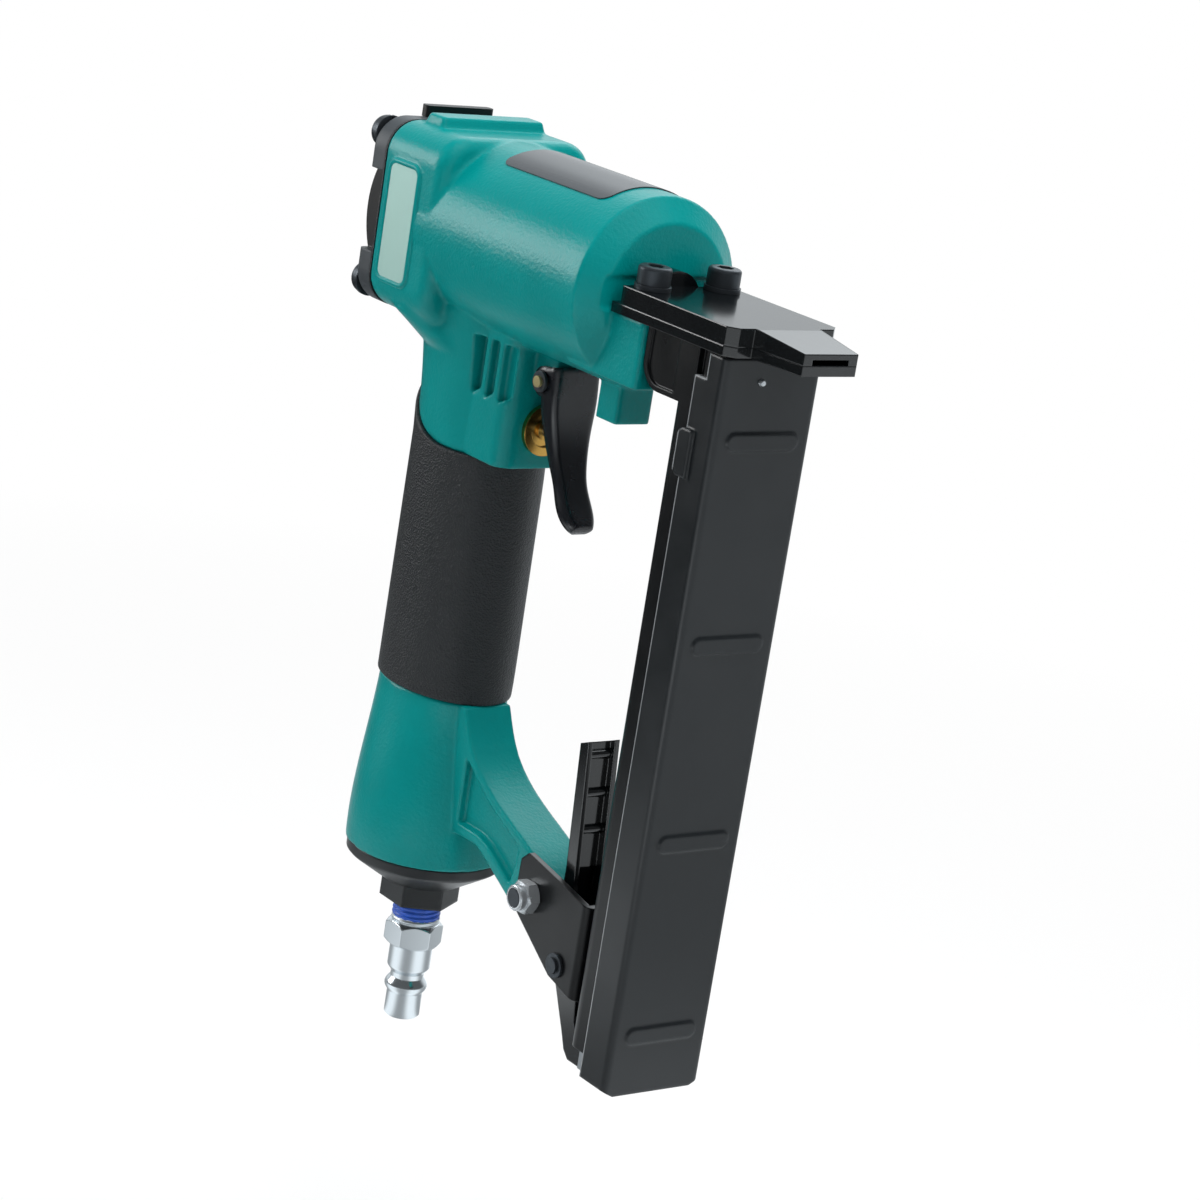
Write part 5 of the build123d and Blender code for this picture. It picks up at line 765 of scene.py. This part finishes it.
class STAPLER_OT_air_plug(bpy.types.Operator):
    """Plated air plug: bevelled tip, rounded bead, neck, body, chamfered hexagon and thread"""

    bl_idname = "stapler.air_plug"
    bl_label = "Air plug"

    def execute(self, context):
        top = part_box("air_plug")[1].z / MM
        # Radii, and the heights of bead and hexagon; the profile starts and ends at a seam in the bore
        bore, tip, neck, body, face, corner, thread = 2.75, 5.0, 4.7, 6.0, 6.7, 8.2, 6.3
        bead_low, bead_long, hex_low, hex_high = 7.2, 4.0, 21.4, 28.4
        seam = 6.0
        swing = np.linspace(0, math.pi, 13)
        bead = np.stack([tip + np.sin(swing), bead_low + bead_long * swing / math.pi], axis=1)
        profile = np.concatenate([
            [(bore, seam), (bore, 0.4), (bore + 0.35, 0.0)],
            [(tip - 0.5, 0.0), (tip, 0.6), (tip, bead_low - 0.2)],
            bead,
            [(neck, 11.6), (neck, 13.0), (body - 0.1, 14.6), (body, 14.9), (body, hex_low)],
            [(face, hex_low), (corner, hex_low + 1.0), (corner, hex_high - 1.3), (face, hex_high)],
            [(thread, hex_high), (thread, top), (bore, top), (bore, seam + 0.1)],
        ])
        points = turned_hexagon(profile, across=14.0)
        add_turned("turned_plug", points, "air_plug", finish("chrome"))
        return {"FINISHED"}


class STAPLER_OT_locknut(bpy.types.Operator):
    """Plated locknut on the bracket's bolt: chamfered hexagon with a domed collar up to the bolt's end"""

    bl_idname = "stapler.locknut"
    bl_label = "Locknut"

    def execute(self, context):
        low, high = (np.array(c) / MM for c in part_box("bracket_nut"))
        middle = (low + high) / 2
        # Radii, then the heights of the hexagon, the collar, its dome and the chamfer
        bore, face, corner, collar = 2.6, 3.9, 4.7, 3.5
        height, shoulder, crown, chamfer = 3.6, 5.2, 0.5, 0.45
        swing = np.linspace(0, math.pi / 2, 8)
        dome = np.stack([bore + (collar - bore) * np.cos(swing), shoulder + crown * np.sin(swing)], axis=1)
        profile = np.concatenate([
            [(bore, 0.1), (bore, 0.0), (face, 0.0), (corner, chamfer)],
            [(corner, height - chamfer), (face, height), (collar, height)],
            dome,
            [(bore, shoulder + 0.3)],
        ])
        turned = turned_hexagon(profile, across=8.0, step=0.12)
        points = np.stack([
            middle[0] + turned[..., 0], high[1] - turned[..., 2], middle[2] + turned[..., 1],
        ], axis=-1)
        add_turned("locknut", points, "bracket_nut", finish("zinc"))
        return {"FINISHED"}


class STAPLER_OT_plate_rim(bpy.types.Operator):
    """Raised rim around the head's plate: a rounded profile carried round a rounded rectangle"""

    bl_idname = "stapler.plate_rim"
    bl_label = "Plate rim"

    def execute(self, context):
        sizes = context.scene.stapler_sizes
        width, height = sizes.rim_width / MM, sizes.rim_height / MM
        low, high = (np.array(c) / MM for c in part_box("name_plate"))
        centre = (low + high) / 2
        half = (high - low) / 2
        corner = 2.0
        arc = np.linspace(0, math.pi / 2, 10)
        path, out = [], []
        for k, (sx, sz) in enumerate(((1, 1), (-1, 1), (-1, -1), (1, -1))):
            swing = arc + k * math.pi / 2
            way = np.stack([np.cos(swing), np.sin(swing)], axis=1)
            path.append(np.array([sx * (half[0] - corner), sz * (half[2] - corner)]) + corner * way)
            out.append(way)
        path, out = np.concatenate(path), np.concatenate(out)
        # Profile: inner foot, rounded top, outer foot; first value outwards, second above the head's side
        profile = np.array([
            (0.08, -0.6), (0.08, 0.55), (0.2, 0.85), (0.4, 1.0),
            (0.7, 1.0), (0.95, 0.75), (1.15, 0.3), (1.4, -0.6),
        ]) * (width, height)
        flat = path[:, None] + out[:, None] * profile[None, :, :1]
        side = HEAD_SIDE - np.broadcast_to(profile[:, 1], flat.shape[:2])
        points = np.stack([centre[0] + flat[..., 0], side, centre[2] + flat[..., 1]], axis=-1)
        mesh = grid_mesh("plate_rim", points, around=True, along=True)
        add_piece("plate_rim", outward(mesh), "tool", finish("enamel"))
        return {"FINISHED"}


# Stage, in metres: the floor lies below the magazine's lowest place, so that it never hides the slid-out
# magazine, and the cards that reflections see lie level with the plug's end
STAGE_REACH = 6.0
FLOOR_Z, CARDS_Z = -0.095, -0.0004
STUDIO_WHITE = (0.92, 0.97, 1.0)        # cool white of the cards and walls
SOFT_LIGHT = 0.21                       # strength of the surroundings' light on the tool
RIGHT_CARD = (-0.78, -0.62, 0.0)        # way to the dark card at the tool's right side
WHITE_CARD = (0.25, -0.42, 0.0)         # middle of the white card in front
BACKDROP = (-0.78, 0.62, 0.0)           # way to the white backdrop
SOFTBOX = (-0.41, 0.6, 0.69)            # way to the softbox overhead
LAMP_AIM = Vector((0.04, 0, 0.14))
# Lamps: name, place, size, power and whether reflections show it
LAMPS = [
    ("key", (-0.35, -0.8, 0.85), 0.7, 3.2, False),
    ("side_box", (-0.72, -0.62, 0.4), 0.4, 3.8, True),
    ("front_fill", (0.95, -0.1, 0.45), 0.8, 2.0, False),
    ("top", (0.3, 0.05, 1.1), 0.9, 12.5, False),
    ("back", (-0.5, 0.8, 0.6), 0.7, 2.0, False),
]
# Camera solved from the photograph: its place, right and up, and its focal length in pixels of the frame
CAMERA_PLACE = (0.7373, -0.5414, 0.3767)
CAMERA_RIGHT = Vector((0.5832, 0.7977, 0.1532))
CAMERA_UP = Vector((-0.3017, 0.0377, 0.9526))
FOCAL_PIXELS, FRAME_PIXELS = 3492, 1200


def lay_sheet(scene, name, height, material):
    """Wide square of the stage, flat at one height in metres."""
    corners = [(x * STAGE_REACH, y * STAGE_REACH, height) for x, y in ((-1, -1), (1, -1), (1, 1), (-1, 1))]
    mesh = bpy.data.meshes.new(name)
    mesh.from_pydata(corners, [], [(0, 1, 2, 3)])
    mesh.materials.append(material)
    sheet = bpy.data.objects.new(name, mesh)
    scene.collection.objects.link(sheet)


def lay_floor(scene):
    """Pale floor that keeps the tool's shadow."""
    material, tree, shader, place = start_finish("pale_floor", scene.stapler_colours.floor, 0.9)
    lay_sheet(scene, "floor", FLOOR_Z, material)
    rays = add_node(tree, "ShaderNodeLightPath")
    # The floor's own light takes over away from the tool, so that it meets the white surroundings
    away = add_node(tree, "ShaderNodeVectorMath", {0: place}, operation="LENGTH")
    fade = add_node(tree, "ShaderNodeMapRange", {
        "Value": away.outputs["Value"], "From Min": 0.15, "From Max": 0.9, "To Min": 0.6, "To Max": 1.0,
    })
    share = add_node(tree, "ShaderNodeMath", {
        0: rays.outputs["Is Camera Ray"], 1: fade.outputs["Result"],
    }, operation="MULTIPLY")
    glow = add_node(tree, "ShaderNodeEmission", {"Color": (1, 1, 1, 1), "Strength": 1.0})
    both = add_node(tree, "ShaderNodeMixShader", {
        0: share.outputs[0], 1: shader.outputs["BSDF"], 2: glow.outputs["Emission"],
    })
    tree.links.new(both.outputs[0], tree.nodes["Material Output"].inputs["Surface"])


def lay_cards(scene):
    """Cards that only reflections see: dimmer near the tool, dark at its right side and white in front."""
    material, tree, shader, place = start_finish("studio_cards", scene.stapler_colours.floor, 0.9)
    tree.nodes.remove(shader)
    lay_sheet(scene, "studio_cards", CARDS_Z, material)
    rays = add_node(tree, "ShaderNodeLightPath")
    away = add_node(tree, "ShaderNodeVectorMath", {0: place}, operation="LENGTH")
    near = add_node(tree, "ShaderNodeMapRange", {
        "Value": away.outputs["Value"], "From Min": 0.08, "From Max": 0.5, "To Min": 0.5, "To Max": 0.9,
    })
    # Close to the plug, three light and three dark cards lie around it by turns
    parts = add_node(tree, "ShaderNodeSeparateXYZ", {0: place})
    round_about = add_node(tree, "ShaderNodeMath", {
        0: parts.outputs["Y"], 1: parts.outputs["X"],
    }, operation="ARCTAN2")
    turn = add_node(tree, "ShaderNodeMath", {
        0: round_about.outputs[0], 1: 3.0, 2: 0.9,
    }, operation="MULTIPLY_ADD")
    wave = add_node(tree, "ShaderNodeMath", {0: turn.outputs[0]}, operation="SINE")
    bands = add_node(tree, "ShaderNodeMapRange", {
        "Value": wave.outputs[0], "From Min": -1.0, "From Max": 1.0, "To Min": 0.42, "To Max": 1.2,
    }, interpolation_type="SMOOTHSTEP")
    close = add_node(tree, "ShaderNodeMapRange", {
        "Value": away.outputs["Value"], "From Min": 0.17, "From Max": 0.25, "To Min": 1.0, "To Max": 0.0,
    })
    near = add_node(tree, "ShaderNodeMix", {
        0: close.outputs["Result"], 2: near.outputs["Result"], 3: bands.outputs["Result"],
    }, data_type="FLOAT")
    card = add_node(tree, "ShaderNodeVectorMath", {0: place, 1: RIGHT_CARD}, operation="DOT_PRODUCT")
    covered = add_node(tree, "ShaderNodeMapRange", {
        "Value": card.outputs["Value"], "From Min": 0.17, "From Max": 0.28, "To Min": 1.0, "To Max": 0.06,
    })
    dimmed = add_node(tree, "ShaderNodeMath", {
        0: near.outputs[0], 1: covered.outputs["Result"],
    }, operation="MULTIPLY")
    beside = add_node(tree, "ShaderNodeVectorMath", {0: place, 1: WHITE_CARD}, operation="DISTANCE")
    white = add_node(tree, "ShaderNodeMapRange", {
        "Value": beside.outputs["Value"], "From Min": 0.06, "From Max": 0.24, "To Min": 2.8, "To Max": 0.0,
    }, interpolation_type="SMOOTHSTEP")
    mirrored = add_node(tree, "ShaderNodeMath", {
        0: dimmed.outputs[0], 1: white.outputs["Result"],
    }, operation="ADD")
    cards = add_node(tree, "ShaderNodeEmission", {
        "Color": (*STUDIO_WHITE, 1), "Strength": mirrored.outputs[0],
    })
    clear = add_node(tree, "ShaderNodeBsdfTransparent")
    laid = add_node(tree, "ShaderNodeMixShader", {
        0: rays.outputs["Is Glossy Ray"], 1: clear.outputs["BSDF"], 2: cards.outputs["Emission"],
    })
    tree.links.new(laid.outputs[0], tree.nodes["Material Output"].inputs["Surface"])


def light_world(scene):
    """White surroundings for the camera, a soft cool light for the tool, and a studio for reflections."""
    world = bpy.data.worlds.new("studio")
    scene.world = world
    world.use_nodes = True
    tree = world.node_tree
    rays = add_node(tree, "ShaderNodeLightPath")
    shown = add_node(tree, "ShaderNodeMath", {
        0: rays.outputs["Is Camera Ray"], 1: rays.outputs["Is Transmission Ray"],
    }, operation="MAXIMUM")
    # In reflections the white backdrop stands behind the tool, and the rest of the studio is dim
    way = add_node(tree, "ShaderNodeTexCoord").outputs["Generated"]
    behind = add_node(tree, "ShaderNodeVectorMath", {0: way, 1: BACKDROP}, operation="DOT_PRODUCT")
    mirror = add_node(tree, "ShaderNodeMapRange", {
        "Value": behind.outputs["Value"],
        "From Min": 0.25, "From Max": 0.85, "To Min": 0.12, "To Max": 0.95,
    }, interpolation_type="SMOOTHSTEP")
    above = add_node(tree, "ShaderNodeVectorMath", {0: way, 1: SOFTBOX}, operation="DOT_PRODUCT")
    softbox = add_node(tree, "ShaderNodeMapRange", {
        "Value": above.outputs["Value"], "From Min": 0.86, "From Max": 0.96, "To Min": 0.0, "To Max": 2.1,
    }, interpolation_type="SMOOTHSTEP")
    mirrored = add_node(tree, "ShaderNodeMath", {
        0: mirror.outputs["Result"], 1: softbox.outputs["Result"],
    }, operation="ADD")
    soft = add_node(tree, "ShaderNodeMix", {
        0: rays.outputs["Is Glossy Ray"], 2: SOFT_LIGHT, 3: mirrored.outputs[0],
    }, data_type="FLOAT")
    level = add_node(tree, "ShaderNodeMix", {
        0: shown.outputs[0], 2: soft.outputs[0], 3: 1.0,
    }, data_type="FLOAT")
    background = tree.nodes["Background"]
    tint = add_node(tree, "ShaderNodeMix", mix_inputs(shown.outputs[0], STUDIO_WHITE, (1, 1, 1)),
                    data_type="RGBA")
    tree.links.new(tint.outputs[2], background.inputs["Color"])
    tree.links.new(level.outputs[0], background.inputs["Strength"])


def hang_lamps(scene):
    """Soft square lamps turned towards the tool's middle."""
    for name, place, size, power, mirrored in LAMPS:
        light = bpy.data.lights.new(name, "AREA")
        light.energy = power
        light.size = size
        lamp = bpy.data.objects.new(name, light)
        lamp.location = place
        lamp.visible_glossy = mirrored
        lamp.rotation_euler = (LAMP_AIM - Vector(place)).to_track_quat("-Z", "Y").to_euler()
        scene.collection.objects.link(lamp)


def set_camera(scene):
    """Camera at the photograph's place, turned as it was."""
    lens = bpy.data.cameras.new("camera")
    lens.sensor_width = 36.0
    lens.lens = FOCAL_PIXELS / FRAME_PIXELS * lens.sensor_width
    lens.clip_start = 0.01
    camera = bpy.data.objects.new("camera", lens)
    back = CAMERA_RIGHT.cross(CAMERA_UP)
    turned = Matrix([(CAMERA_RIGHT[k], CAMERA_UP[k], back[k]) for k in range(3)])
    camera.matrix_world = Matrix.Translation(CAMERA_PLACE) @ turned.to_4x4()
    scene.collection.objects.link(camera)
    scene.camera = camera


class STAPLER_OT_stage(bpy.types.Operator):
    """Pale floor, soft studio light, white surroundings and the camera"""

    bl_idname = "stapler.stage"
    bl_label = "Stage"

    def execute(self, context):
        scene = context.scene
        scene.view_settings.view_transform = "Standard"
        lay_floor(scene)
        lay_cards(scene)
        light_world(scene)
        hang_lamps(scene)
        set_camera(scene)
        return {"FINISHED"}


STEPS = [
    STAPLER_OT_finishes, STAPLER_OT_casting, STAPLER_OT_grip, STAPLER_OT_springs, STAPLER_OT_sealed_thread,
    STAPLER_OT_air_plug, STAPLER_OT_locknut, STAPLER_OT_plate_rim, STAPLER_OT_stage,
]


class STAPLER_PT_panel(bpy.types.Panel):
    """Sidebar panel with the tool's colours, sizes and steps"""

    bl_label = "Stapler"
    bl_idname = "STAPLER_PT_panel"
    bl_space_type = "VIEW_3D"
    bl_region_type = "UI"
    bl_category = "Stapler"

    def draw(self, context):
        for group in (context.scene.stapler_colours, context.scene.stapler_sizes):
            for key in group.bl_rna.properties.keys():
                if key not in ("rna_type", "name"):
                    self.layout.prop(group, key)
        for step in STEPS:
            self.layout.operator(step.bl_idname)


CLASSES = [StaplerColours, StaplerSizes, *STEPS, STAPLER_PT_panel]


def register():
    for cls in CLASSES:
        bpy.utils.register_class(cls)
    bpy.types.Scene.stapler_colours = PointerProperty(type=StaplerColours)
    bpy.types.Scene.stapler_sizes = PointerProperty(type=StaplerSizes)


def unregister():
    del bpy.types.Scene.stapler_sizes
    del bpy.types.Scene.stapler_colours
    for cls in reversed(CLASSES):
        bpy.utils.unregister_class(cls)


def main():
    register()
    bpy.ops.stapler.finishes()
    bpy.ops.stapler.casting()
    bpy.ops.stapler.grip()
    bpy.ops.stapler.springs()
    bpy.ops.stapler.sealed_thread()
    bpy.ops.stapler.air_plug()
    bpy.ops.stapler.locknut()
    bpy.ops.stapler.plate_rim()
    bpy.ops.stapler.stage()


if __name__ == "__main__":
    main()
